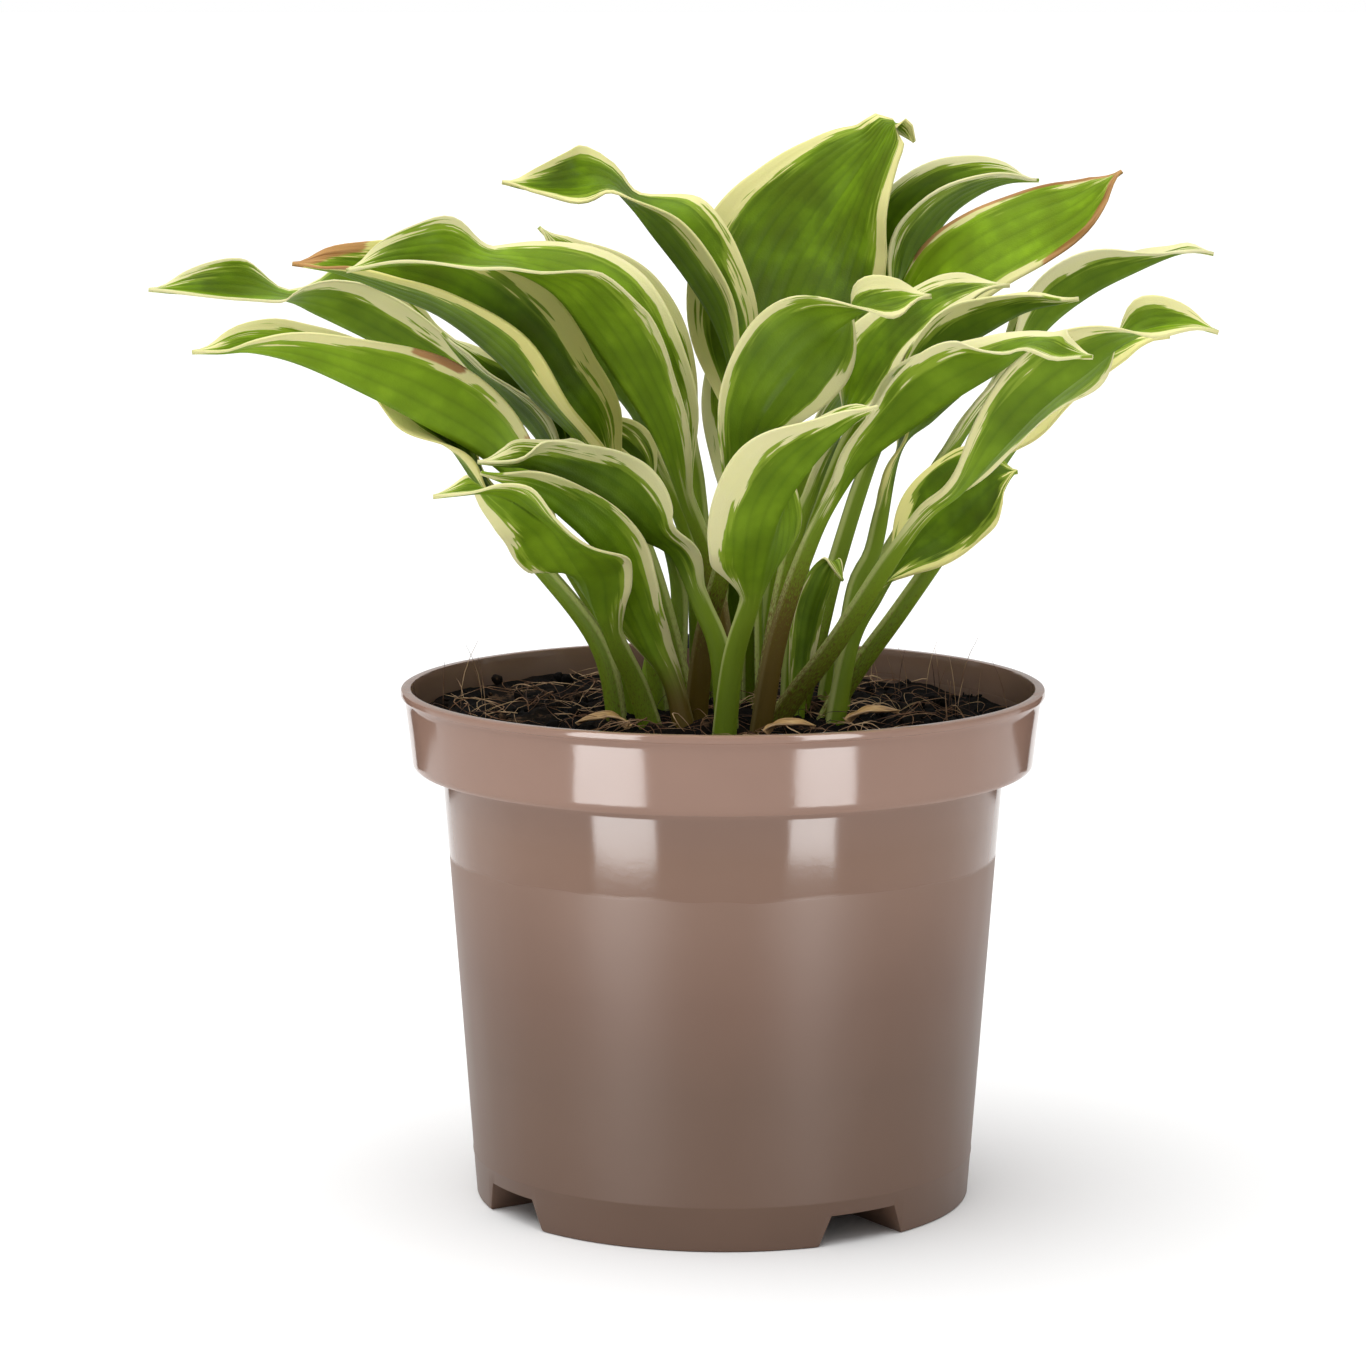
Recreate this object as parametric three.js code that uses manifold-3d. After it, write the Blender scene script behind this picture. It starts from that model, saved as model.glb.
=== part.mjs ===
// A potted plantain lily (hosta) in a nursery container. Millimetres, +Z up, the origin on the
// pot's axis at the ground. Every leaf is one solid, blade and stalk together.
import * as THREE from 'three';
import { mergeVertices } from 'three/addons/utils/BufferGeometryUtils.js';
import Module from 'manifold-3d';

const wasm = await Module();
wasm.setup();

// Pot
const POT_HEIGHT = 152;
const RIM_RADIUS = 95;
const BAND_RADIUS = 93.7;
const BAND_FOOT_RADIUS = 91.6;
const BAND_DEPTH = 24;
const BODY_TOP_RADIUS = 82.8;
const BODY_FOOT_RADIUS = 73.4;
const WALL = 1.8;
const FLOOR = 2.2;
const BEAD = 2.2;
const EDGE = 0.7;
const LEDGE_ROUND = 1.6;
const POT_SIDES = 48;

// Notches round the foot of the pot, each with a drain hole in its ceiling
const NOTCH_COUNT = 4;
const NOTCH_TURN = 33.5;
const NOTCH_HEIGHT = 9;
const NOTCH_FOOT_WIDTH = 30;
const NOTCH_TOP_WIDTH = 22;
const NOTCH_INNER_RADIUS = 40;
const DRAIN_RADIUS = 5;
const DRAIN_DISTANCE = 56;
const DRAIN_SIDES = 16;
const DRAIN_DEPTH = 9;

// Soil
const SOIL_TOP = 142;
const SOIL_RISE = 2.5;
const SOIL_GRID = 12;
const LID_HEIGHT = 40;
const CLEARANCE = 0.3;
const LUMP_HEIGHT = 0.9;
const LUMP_LENGTH = 9;
const LUMP_BREADTH = 11;
const CRUMB_HEIGHT = 0.6;
const CRUMB_LENGTH = 5;
const CRUMB_BREADTH = 6;
const BARK_X = -12;
const BARK_Y = 74;
const BARK_LIFT = 1.5;
const BARK_THICKNESS = 3;

// Leaves
const STALK_HALF = 4.3;
const STALK_FOOT_HALF = 5.4;
const STALK_FOLD = 14;
const STALK_CURL = 92;
const STALK_THICKNESS = 1.7;
const BLADE_THICKNESS = 0.8;
const MIDRIB_THICKNESS = 1.3;
const TIP_HALF = 0.9;
const BLADE_ROUNDNESS = 0.95;
const SPINE_STEPS = 120;
const HOLE_RADIUS = 5.2;
const HOLE_REACH = 24;
const HOLE_SINK = 1.2;
const HOLE_SIDES = 9;
const HOLE_SHARE = 0.35;
const STALK_MIDDLE = 1.2;
const STALK_FADE = 0.6;
const FLAT_TIP_HALF = 5;
const OPEN_FROM = -0.12;
const OPEN_TO = 0.3;
const RIPPLE_POWER = 2.5;
const RIPPLE_FADE = 0.75;
const RIPPLE_SHIFT = 0.4;
const STALK_HOLLOW = 1.2;
const BLADE_HOLLOW = 5;
const FIRST_BLADE_ROW = 0.9;
const LAST_ROW = 0.995;

const deg = THREE.MathUtils.degToRad;
const mix = THREE.MathUtils.lerp;
const smooth = THREE.MathUtils.smoothstep;

// Solids

function solidOf(geometry) {
  const bare = geometry.clone();
  bare.deleteAttribute('normal');
  bare.deleteAttribute('uv');
  const merged = mergeVertices(bare, 1e-3);
  const vertProperties = new Float32Array(merged.attributes.position.array);
  const triVerts = new Uint32Array(merged.index.array);
  return new wasm.Manifold(new wasm.Mesh({ numProp: 3, vertProperties, triVerts }));
}

function geometryOf(solid) {
  const made = solid.getMesh();
  const geometry = new THREE.BufferGeometry();
  geometry.setAttribute('position', new THREE.BufferAttribute(made.vertProperties, 3));
  geometry.setIndex(new THREE.BufferAttribute(made.triVerts, 1));
  geometry.computeVertexNormals();
  return geometry;
}

function lathe(profile) {
  const points = profile.map(([r, z]) => new THREE.Vector2(r, z));
  return new THREE.LatheGeometry(points, POT_SIDES).rotateX(Math.PI / 2);
}

// Pot

function bodyRadius(z) {
  return mix(BODY_FOOT_RADIUS, BODY_TOP_RADIUS, z / (POT_HEIGHT - BAND_DEPTH));
}

function potOutside() {
  const bandFoot = POT_HEIGHT - BAND_DEPTH;
  return lathe([
    [0, 0],
    [BODY_FOOT_RADIUS - EDGE, 0],
    [BODY_FOOT_RADIUS, EDGE],
    [BODY_TOP_RADIUS, bandFoot - EDGE],
    [BODY_TOP_RADIUS + LEDGE_ROUND, bandFoot + EDGE],
    [BAND_FOOT_RADIUS - LEDGE_ROUND, bandFoot + EDGE],
    [BAND_FOOT_RADIUS, bandFoot + EDGE + LEDGE_ROUND],
    [BAND_RADIUS, POT_HEIGHT - BEAD - EDGE],
    [RIM_RADIUS, POT_HEIGHT - BEAD],
    [RIM_RADIUS, POT_HEIGHT - EDGE],
    [RIM_RADIUS - EDGE, POT_HEIGHT],
    [0, POT_HEIGHT],
  ]);
}

// The room inside the walls; inset draws it in, for what fills the pot.
function potInside(inset, top) {
  const bandFoot = POT_HEIGHT - BAND_DEPTH;
  const skin = WALL + inset;
  return lathe([
    [0, FLOOR + inset],
    [bodyRadius(FLOOR) - skin, FLOOR + inset],
    [BODY_TOP_RADIUS - skin, bandFoot + WALL],
    [BAND_FOOT_RADIUS - skin, bandFoot + 2 * WALL],
    [BAND_RADIUS - skin, POT_HEIGHT - BEAD],
    [BAND_RADIUS - skin, top],
    [0, top],
  ]);
}

function notchTurns() {
  return Array.from({ length: NOTCH_COUNT }, (_, i) => deg(NOTCH_TURN - 90 + (i * 360) / NOTCH_COUNT));
}

// One notch, running inwards from outside the wall; grow thickens it into the wall round it.
function notch(turn, grow) {
  const foot = NOTCH_FOOT_WIDTH / 2 + grow;
  const top = NOTCH_TOP_WIDTH / 2 + grow;
  const outline = new THREE.Shape([
    new THREE.Vector2(-foot, -1),
    new THREE.Vector2(foot, -1),
    new THREE.Vector2(top, NOTCH_HEIGHT + grow),
    new THREE.Vector2(-top, NOTCH_HEIGHT + grow),
  ]);
  const start = NOTCH_INNER_RADIUS - grow;
  const depth = BODY_TOP_RADIUS - start;
  const geometry = new THREE.ExtrudeGeometry(outline, { depth, bevelEnabled: false });
  geometry.rotateX(Math.PI / 2).rotateZ(Math.PI / 2);
  geometry.translate(start, 0, 0).rotateZ(turn);
  return solidOf(geometry);
}

function drain(turn) {
  const geometry = new THREE.CylinderGeometry(DRAIN_RADIUS, DRAIN_RADIUS, DRAIN_DEPTH, DRAIN_SIDES);
  geometry.rotateX(Math.PI / 2).translate(DRAIN_DISTANCE, 0, NOTCH_HEIGHT).rotateZ(turn);
  return solidOf(geometry);
}

function roomInside(inset, top) {
  let room = solidOf(potInside(inset, top));
  for (const turn of notchTurns()) room = room.subtract(notch(turn, FLOOR + inset));
  return room;
}

function potGeometry() {
  let pot = solidOf(potOutside()).subtract(roomInside(0, POT_HEIGHT + WALL));
  for (const turn of notchTurns()) pot = pot.subtract(notch(turn, 0)).subtract(drain(turn));
  return geometryOf(pot);
}

// Leaves. Each runs along a spine from its foot in the soil to its tip. A cross-section is two
// wings that rise from the midrib by the fold and then turn further by the curl.

// Rows of numbers read at t from 0 to 1, passing through every row.
function through(rows, t) {
  const last = rows.length - 1;
  const place = Math.min(t * last, last - 1e-6);
  const i = Math.floor(place);
  const f = place - i;
  const b = rows[i];
  const c = rows[i + 1];
  const a = i > 0 ? rows[i - 1] : b.map((value, k) => 2 * value - c[k]);
  const d = i + 2 <= last ? rows[i + 2] : c.map((value, k) => 2 * value - b[k]);
  return b.map((value, k) => {
    const bend = 2 * a[k] - 5 * value + 4 * c[k] - d[k];
    const twist = 3 * (value - c[k]) + d[k] - a[k];
    return value + 0.5 * f * (c[k] - a[k] + f * (bend + f * twist));
  });
}

// Even steps along the route: the place, the way it runs, the run so far and the wings' lifts.
function spineOf(leaf) {
  const rows = Array.from({ length: SPINE_STEPS + 1 }, (_, i) => through(leaf.route, i / SPINE_STEPS));
  const places = rows.map(([x, y, z]) => new THREE.Vector3(x, y, z));
  let run = 0;
  return places.map((place, i) => {
    const before = places[Math.max(i - 1, 0)];
    const after = places[Math.min(i + 1, SPINE_STEPS)];
    if (i > 0) run += place.distanceTo(before);
    return { place, along: after.clone().sub(before).normalize(), run, lifts: rows[i].slice(3) };
  });
}

// The frame of a cross-section: its wings leave the spine level, and the upper side faces up.
function stationAt(leaf, spine, share) {
  const run = share * spine[spine.length - 1].run;
  let i = 0;
  while (i < spine.length - 2 && spine[i + 1].run < run) i += 1;
  const a = spine[i];
  const b = spine[i + 1];
  const f = (run - a.run) / (b.run - a.run);
  const along = a.along.clone().lerp(b.along, f).normalize();
  const side = new THREE.Vector3(Math.sin(deg(leaf.faces)), -Math.cos(deg(leaf.faces)), 0);
  side.addScaledVector(along, -side.dot(along)).normalize();
  const upper = along.clone().cross(side);
  const lifts = a.lifts.map((lift, wing) => deg(mix(lift, b.lifts[wing], f)));
  return { place: a.place.clone().lerp(b.place, f), upper, side, lifts };
}

// Half of the width at a share of the length, measured round the section.
function halfWidth(leaf, share) {
  const q = THREE.MathUtils.clamp((share - leaf.blade) / (1 - leaf.blade), 0, 1);
  const stalk = mix(STALK_FOOT_HALF, STALK_HALF, smooth(share, 0, leaf.blade)) * leaf.stalk;
  const blade = leaf.half * Math.pow(Math.sin(Math.PI * Math.pow(q, leaf.belly)), BLADE_ROUNDNESS);
  return Math.max(Math.hypot(stalk * (1 - smooth(q, 0, STALK_FADE)), blade), TIP_HALF);
}

// The point at v across the section, from -1 at one margin to 1 at the other. The wings lose their
// lift where the blade narrows to its tip.
function sectionPoint(leaf, share, lifts, v) {
  const q = (share - leaf.blade) / (1 - leaf.blade);
  const open = smooth(q, OPEN_FROM, OPEN_TO);
  const wing = v < 0 ? 0 : 1;
  const half = halfWidth(leaf, share);
  const lift = lifts[wing] * Math.min(half / FLAT_TIP_HALF, 1);
  const fold = mix(deg(STALK_FOLD), lift, open);
  const curl = deg(mix(STALK_CURL, leaf.curl, open)) || 1e-6;
  const reach = Math.abs(v);
  const angle = fold + curl * reach;
  const across = (half / curl) * (Math.sin(angle) - Math.sin(fold)) * Math.sign(v);
  const ripple = leaf.wave[0] * Math.pow(reach, RIPPLE_POWER) * smooth(q, 0, OPEN_TO)
    * (1 - smooth(q, RIPPLE_FADE, 1));
  const turns = leaf.wave[1] * q + leaf.wave[2] + wing * RIPPLE_SHIFT;
  const rise = (half / curl) * (Math.cos(fold) - Math.cos(angle)) + ripple * Math.sin(2 * Math.PI * turns);
  const middle = mix(STALK_THICKNESS, MIDRIB_THICKNESS, open);
  const thickness = mix(BLADE_THICKNESS, middle, Math.pow(1 - reach, mix(STALK_HOLLOW, BLADE_HOLLOW, open)));
  const lean = v === 0 ? 0 : angle * Math.sign(v);
  return { across, rise, down: [thickness * Math.sin(lean), -thickness * Math.cos(lean)] };
}

function leafGeometry(leaf) {
  const spine = spineOf(leaf);
  const shares = [];
  const opens = leaf.blade * FIRST_BLADE_ROW;
  for (let i = 0; i < leaf.stalkSteps; i += 1) shares.push((opens * i) / leaf.stalkSteps);
  for (let i = 0; i <= leaf.bladeSteps; i += 1) shares.push(mix(opens, LAST_ROW, i / leaf.bladeSteps));
  const columns = 2 * leaf.wing + 1;
  const corners = [];
  for (const share of shares) {
    const { place, upper, side, lifts } = stationAt(leaf, spine, share);
    for (const face of [0, 1]) {
      for (let j = 0; j < columns; j += 1) {
        const { across, rise, down } = sectionPoint(leaf, share, lifts, j / leaf.wing - 1);
        const corner = place.clone();
        corner.addScaledVector(side, across + face * down[0]);
        corner.addScaledVector(upper, rise + face * down[1]);
        corners.push(corner.x, corner.y, corner.z);
      }
    }
  }
  const index = [];
  const at = (row, face, j) => row * 2 * columns + face * columns + j;
  const quad = (a, b, c, d) => index.push(a, b, c, a, c, d);
  for (let row = 0; row < shares.length - 1; row += 1) {
    for (let j = 0; j < columns - 1; j += 1) {
      quad(at(row, 0, j), at(row + 1, 0, j), at(row + 1, 0, j + 1), at(row, 0, j + 1));
      index.push(at(row, 1, j), at(row + 1, 1, j + 1), at(row + 1, 1, j));
      index.push(at(row, 1, j), at(row, 1, j + 1), at(row + 1, 1, j + 1));
    }
    quad(at(row, 0, 0), at(row, 1, 0), at(row + 1, 1, 0), at(row + 1, 0, 0));
    const e = columns - 1;
    quad(at(row, 0, e), at(row + 1, 0, e), at(row + 1, 1, e), at(row, 1, e));
  }
  const tip = shares.length - 1;
  for (let j = 0; j < columns - 1; j += 1) {
    quad(at(0, 0, j), at(0, 0, j + 1), at(0, 1, j + 1), at(0, 1, j));
    quad(at(tip, 0, j + 1), at(tip, 0, j), at(tip, 1, j), at(tip, 1, j + 1));
  }
  const geometry = new THREE.BufferGeometry();
  geometry.setAttribute('position', new THREE.Float32BufferAttribute(corners, 3));
  geometry.setIndex(index);
  geometry.computeVertexNormals();
  return geometry;
}

// The leaves, by where their tips are. route: points from foot to tip, each with the lift of the
// two wings in degrees; faces: the way the upper side faces at the foot, in degrees from +X;
// blade: the share of the length where it begins; half: half the blade's width, and belly: under
// 1 puts the widest place nearer to the stalk; curl: how much more a wing turns to its margin;
// wave: the margin's height, waves along it and where they start.
const usual = {
  stalk: 1, belly: 1, curl: 0, wave: [1.5, 2, 0], stalkSteps: 4, bladeSteps: 11, wing: 3,
};
const LEAVES = {
  left_far: {
    faces: 0, blade: 0.44, half: 18, belly: 1.25, wave: [1, 2, 0.2],
    route: [[-27, 21, 131, 0, 0], [-22, 32, 176, 0, 0], [-51, 40, 219, 0, 0],
      [-76, 44, 239, 40, 25], [-94, 42, 246, 75, 55], [-112, 40, 255, 85, 60],
      [-122, 38, 260, 60, 45], [-131, 38, 264, 5, 3], [-145, 36, 265, 60, -5],
      [-157, 35, 266, 80, -5], [-172, 34, 267, 30, 0]],
  },
  left_low: {
    faces: 0, blade: 0.34, half: 20, wave: [1, 2, 0],
    route: [[-23, 2, 131, 0, 0], [-34, 4, 165, 0, 0], [-46, 4, 187, 0, 0], [-58, 0, 209, 30, 45],
      [-70, -4, 221, 30, 80], [-87, -8, 231, 30, 75], [-101, -12, 239, 30, 65],
      [-121, -18, 249, 40, 50], [-135, -22, 253, 75, 25], [-144, -26, 253, 60, 0],
      [-152, -28, 253, 30, 0]],
  },
  left_under: {
    faces: 0, blade: 0.5, half: 11, wing: 2, wave: [2, 2, 0],
    route: [[-31, -6, 131, 0, 0], [-37, -8, 164, 0, 0], [-58, -4, 192, 0, 0],
      [-71, 0, 211, 20, 20], [-80, 2, 224, 40, -10], [-90, 3, 234, 40, -30],
      [-99, 4, 239, 40, -40], [-110, 5, 245, 30, -30]],
  },
  left_bands: {
    faces: 0, blade: 0.38, half: 25, belly: 0.95, wave: [1, 2, 0],
    route: [[-9, 5, 131, 0, 0], [-20, 8, 179, 0, 0], [-30, 8, 205, 0, 0], [-41, 5, 223, 75, 15],
      [-54, 3, 236, 85, 22], [-66, 2, 249, 88, 26], [-81, 1, 261, 85, 24], [-96, 0, 268, 80, 22],
      [-110, -3, 274, 70, 15], [-118, -5, 276, 60, 0], [-125, -6, 277, 40, 0]],
  },
  left_tall: {
    faces: 0, blade: 0.36, half: 25, belly: 0.95, wave: [0.8, 2, 0],
    route: [[2, 3, 131, 0, 0], [-3, 2, 180, 0, 0], [-11, 0, 206, 50, 20], [-19, -4, 226, 88, 45],
      [-29, -6, 242, 90, 48], [-39, -9, 257, 70, 45], [-48, -14, 269, 25, 35],
      [-60, -19, 276, 8, 8], [-71, -21, 277, 25, 3], [-84, -22, 278, 80, 3],
      [-95, -23, 278, 85, 3], [-108, -24, 276, 40, 0]],
  },
  left_behind: {
    faces: 0, blade: 0.48, half: 15, wing: 2, wave: [1.5, 2, 0],
    route: [[-8, 28, 131, 0, 0], [-10, 33, 185, 0, 0], [-21, 39, 215, 0, 0],
      [-26, 39, 228, 50, 30], [-37, 38, 242, 60, 50], [-49, 36, 257, 60, 50],
      [-62, 32, 268, 40, 20], [-73, 32, 269, 30, 0]],
  },
  upper_left: {
    faces: 0, blade: 0.42, half: 19, belly: 1.2, wave: [0.6, 2, 0],
    route: [[1, 17, 131, 0, 0], [-3, 25, 177, 0, 0], [0, 29, 200, 0, 0], [4, 32, 224, 0, 0],
      [3, 34, 242, 40, 15], [-2, 35, 257, 80, 30], [-10, 36, 270, 80, 30],
      [-20, 36, 283, 60, 28], [-27, 36, 292, 10, 10], [-34, 36, 298, 20, -5],
      [-44, 36, 297, 85, -20], [-56, 36, 297, 85, -10], [-66, 36, 299, 40, 0]],
  },
  left_hooded: {
    faces: 0, blade: 0.5, half: 14, belly: 1.2, wave: [1, 2, 0],
    route: [[-6, 40, 131, 0, 0], [-7, 52, 183, 0, 0], [-10, 58, 216, 0, 0],
      [-13, 62, 231, 40, 20], [-17, 64, 242, 60, 20], [-23, 66, 252, 60, 20],
      [-32, 66, 261, 60, 0], [-40, 66, 269, 60, -30], [-48, 66, 276, 55, -50],
      [-56, 66, 284, 30, -30]],
  },
  left_shaded: {
    faces: 0, blade: 0.5, half: 15, wing: 2, wave: [1.5, 2, 0],
    route: [[-19, 13, 131, 0, 0], [-25, 18, 175, 0, 0], [-44, 20, 205, 0, 0],
      [-54, 20, 223, 60, 20], [-65, 20, 235, 80, 30], [-74, 20, 244, 70, 20],
      [-83, 20, 255, 30, 10]],
  },
  left_inner: {
    faces: 0, blade: 0.45, half: 10.5, wing: 2, wave: [1.5, 2, 0],
    route: [[-17, 25, 131, 0, 0], [-14, 25, 177, 0, 0], [-22, 22, 205, 20, 0],
      [-29, 22, 217, 60, 20], [-37, 22, 224, 80, 20], [-44, 22, 229, 60, 10],
      [-50, 22, 231, 30, 0]],
  },
  middle_back: {
    faces: 270, blade: 0.5, half: 11, wing: 2, wave: [1, 2, 0],
    route: [[2, 30, 131, 0, 0], [4, 46, 184, 0, 0], [5, 56, 216, 0, 0], [4, 62, 231, 15, 15],
      [3, 64, 243, 15, 15], [0, 64, 252, 15, 15], [-6, 64, 258, 10, 10]],
  },
  front_left: {
    faces: 40, blade: 0.33, half: 16, belly: 0.85, wave: [1, 2, 0],
    route: [[-20, -13, 131, 0, 0], [-26, -19, 153, 0, 0], [-31, -26, 166, 0, 0],
      [-36, -34, 180, 0, 25], [-38, -40, 188, -5, 35], [-41, -47, 194, -25, 25],
      [-47, -57, 205, -35, -10], [-54, -65, 212, -45, -5], [-60, -70, 216, -30, 20],
      [-66, -75, 218, 20, 15], [-71, -78, 218, 60, 0], [-80, -80, 217, 40, 0]],
  },
  front_left_short: {
    faces: 65, blade: 0.2, half: 13, belly: 1, wave: [0.8, 2, 0],
    route: [[-10, -19, 131, 0, 0], [-15, -20, 154, 0, 0], [-21, -22, 167, 0, 0],
      [-26, -26, 179, 0, -5], [-30, -30, 188, 30, 0], [-35, -35, 196, 50, 25],
      [-44, -42, 206, 55, 50], [-54, -50, 215, 45, 40], [-68, -54, 221, 20, 20]],
  },
  front_left_arch: {
    faces: 40, blade: 0.4, half: 17, belly: 0.9, wave: [1, 2, 0],
    route: [[0, -17, 131, 0, 0], [-2, -22, 163, 0, 0], [-7, -24, 178, 0, 0],
      [-14, -27, 194, 35, 0], [-23, -30, 200, 55, 30], [-31, -34, 206, 60, 55],
      [-40, -38, 213, 62, 62], [-46, -42, 217, 62, 62], [-55, -46, 222, 60, 50],
      [-61, -50, 223, 60, 10], [-69, -53, 224, 30, 10]],
  },
  tall_back: {
    faces: 225, blade: 0.42, half: 30, belly: 0.92, wave: [1.2, 2, 0],
    route: [[11, 21, 131, 0, 0], [10, 38, 203, 0, 0], [12, 44, 230, 0, 0],
      [15, 50, 253, -38, 50], [22, 54, 272, -30, 50], [31, 56, 287, -15, 42],
      [40, 56, 300, 5, 25], [46, 55, 309, 8, 0], [50, 55, 315, 0, 0], [54, 55, 315, 0, 0],
      [58, 55, 310, 0, 0]],
  },
  middle_ovate: {
    faces: 150, blade: 0.38, half: 16, belly: 1.35, wave: [1, 2, 0],
    route: [[-7, -8, 131, 0, 0], [-4, -11, 166, 0, 0], [2, -22, 193, 0, 0], [6, -40, 224, 10, 0],
      [11, -46, 238, 50, -40], [21, -52, 252, 65, -40], [30, -56, 261, 50, -10],
      [39, -58, 267, 0, 50], [49, -58, 270, -50, 75], [58, -58, 271, -10, 40]],
  },
  front_middle: {
    faces: 122, blade: 0.4, half: 21, belly: 0.85, wave: [1.5, 2, 0],
    route: [[1, -27, 131, 0, 0], [4, -34, 163, 0, 0], [9, -46, 183, 0, 0], [12, -58, 199, 0, 30],
      [16, -68, 212, 15, 60], [23, -77, 224, 25, 70], [30, -84, 233, 25, 65],
      [37, -89, 240, 15, 55], [42, -92, 243, 0, 30]],
  },
  right_long: {
    faces: 170, blade: 0.4, half: 16, belly: 1.2, wave: [1.2, 2, 0],
    route: [[11, -19, 131, 0, 0], [17, -25, 169, 0, 0], [26, -34, 199, 0, 0],
      [34, -38, 215, 10, 20], [41, -42, 224, 40, 50], [53, -50, 234, 55, 80],
      [63, -58, 242, 60, 60], [76, -66, 251, 50, 40], [85, -73, 258, 5, 10],
      [93, -79, 256, -10, 80], [101, -84, 256, -5, 40]],
  },
  right_behind: {
    faces: 180, blade: 0.45, half: 12, wave: [2, 2, 0],
    route: [[11, 9, 131, 0, 0], [20, 14, 185, 0, 0], [27, 17, 208, 0, 0], [34, 15, 226, 0, 0],
      [41, 12, 243, -35, 40], [49, 10, 255, -45, 50], [61, 8, 265, -45, 50],
      [72, 8, 269, -30, 40], [84, 8, 270, -10, 20]],
  },
  right_dark: {
    faces: 180, blade: 0.5, half: 13, wing: 2, wave: [1, 2, 0],
    route: [[21, 12, 131, 0, 0], [29, 16, 162, 0, 0], [35, 16, 187, 0, 0], [46, 13, 222, 0, 0],
      [57, 9, 239, 40, 40], [68, 3, 251, 60, 60], [78, 0, 258, 60, 50], [89, -3, 264, 50, 30],
      [103, -6, 267, 20, 10]],
  },
  right_second: {
    faces: 180, blade: 0.5, half: 13, wing: 2, wave: [1.5, 2, 0],
    route: [[35, 14, 131, 0, 0], [40, 20, 175, 0, 0], [46, 23, 190, 0, 0], [52, 26, 219, 0, 0],
      [62, 27, 229, 50, 50], [73, 26, 239, 50, 50], [84, 24, 248, 30, 30],
      [94, 22, 255, 20, 20]],
  },
  back_right: {
    faces: 180, blade: 0.42, half: 25, belly: 0.95, wave: [1.2, 2, 0],
    route: [[13, 36, 131, 0, 0], [18, 54, 183, 0, 0], [33, 64, 225, 0, 0], [48, 68, 249, 10, 50],
      [55, 70, 264, 15, 75], [62, 70, 278, 28, 85], [69, 70, 288, 28, 85], [79, 72, 295, 25, 70],
      [88, 75, 298, 15, 55], [97, 78, 298, 0, 10]],
  },
  right_flat: {
    faces: 180, blade: 0.45, half: 16, belly: 1.3, wave: [0.8, 2, 0],
    route: [[21, 25, 131, 0, 0], [25, 36, 185, 0, 0], [40, 42, 224, 0, 0],
      [54, 45, 254, -20, 20], [67, 47, 269, -45, 45], [79, 46, 278, -50, 50],
      [92, 45, 285, -55, 50], [106, 43, 292, -60, 50], [119, 42, 302, -60, 40]],
  },
  right_far: {
    faces: 180, blade: 0.48, half: 14, wave: [1.5, 2, 0],
    route: [[31, 24, 131, 0, 0], [37, 32, 161, 0, 0], [55, 42, 192, 0, 0], [73, 46, 223, 0, 0],
      [87, 46, 242, 20, 20], [98, 44, 256, 50, 40], [110, 38, 266, 60, 40],
      [123, 35, 273, 50, 30], [134, 32, 278, 15, 10], [140, 31, 279, -10, 40],
      [146, 30, 278, 0, 20]],
  },
  right_front: {
    faces: 160, blade: 0.42, half: 16, belly: 1.2, wave: [1.5, 2, 0],
    route: [[10, -9, 131, 0, 0], [23, -13, 151, 0, 0], [34, -20, 167, 0, 0],
      [55, -38, 203, 0, 0], [67, -46, 215, 10, 0], [78, -50, 228, 45, -10],
      [89, -54, 240, 50, -10], [101, -57, 250, 45, -10], [111, -58, 258, 20, 20],
      [120, -59, 262, -10, 70], [130, -60, 263, -10, 60], [138, -60, 261, 0, 20]],
  },
  right_hidden: {
    faces: 170, blade: 0.5, half: 11, wing: 2, wave: [1.5, 2, 0],
    route: [[28, 4, 131, 0, 0], [38, 5, 151, 0, 0], [53, 3, 173, 0, 0], [68, 0, 196, 0, 0],
      [84, -3, 222, 0, 0], [95, -12, 237, -20, 30], [106, -26, 251, -45, 40],
      [116, -30, 256, -35, 40], [127, -32, 258, -20, 20]],
  },
  right_low: {
    faces: 180, blade: 0.4, half: 16, belly: 1.6, wave: [1.5, 2, 0],
    route: [[33, -6, 131, 0, 0], [38, -7, 164, 0, 0], [45, -9, 179, 0, 0],
      [52, -12, 191, -20, 30], [62, -15, 203, -55, 50], [70, -18, 212, -62, 50],
      [78, -20, 217, -65, 50], [85, -20, 218, -50, 30]],
  },
  young: {
    faces: 100, blade: 0.3, half: 5, wing: 2, curl: 20, stalk: 0.8, wave: [0, 1, 0],
    route: [[21, 1, 131, 0, 0], [23, 2, 156, 0, 0], [25, 0, 171, 20, 20], [28, -4, 182, 30, 20],
      [32, -8, 190, 30, 20], [35, -12, 185, 30, 20]],
  },
};

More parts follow.
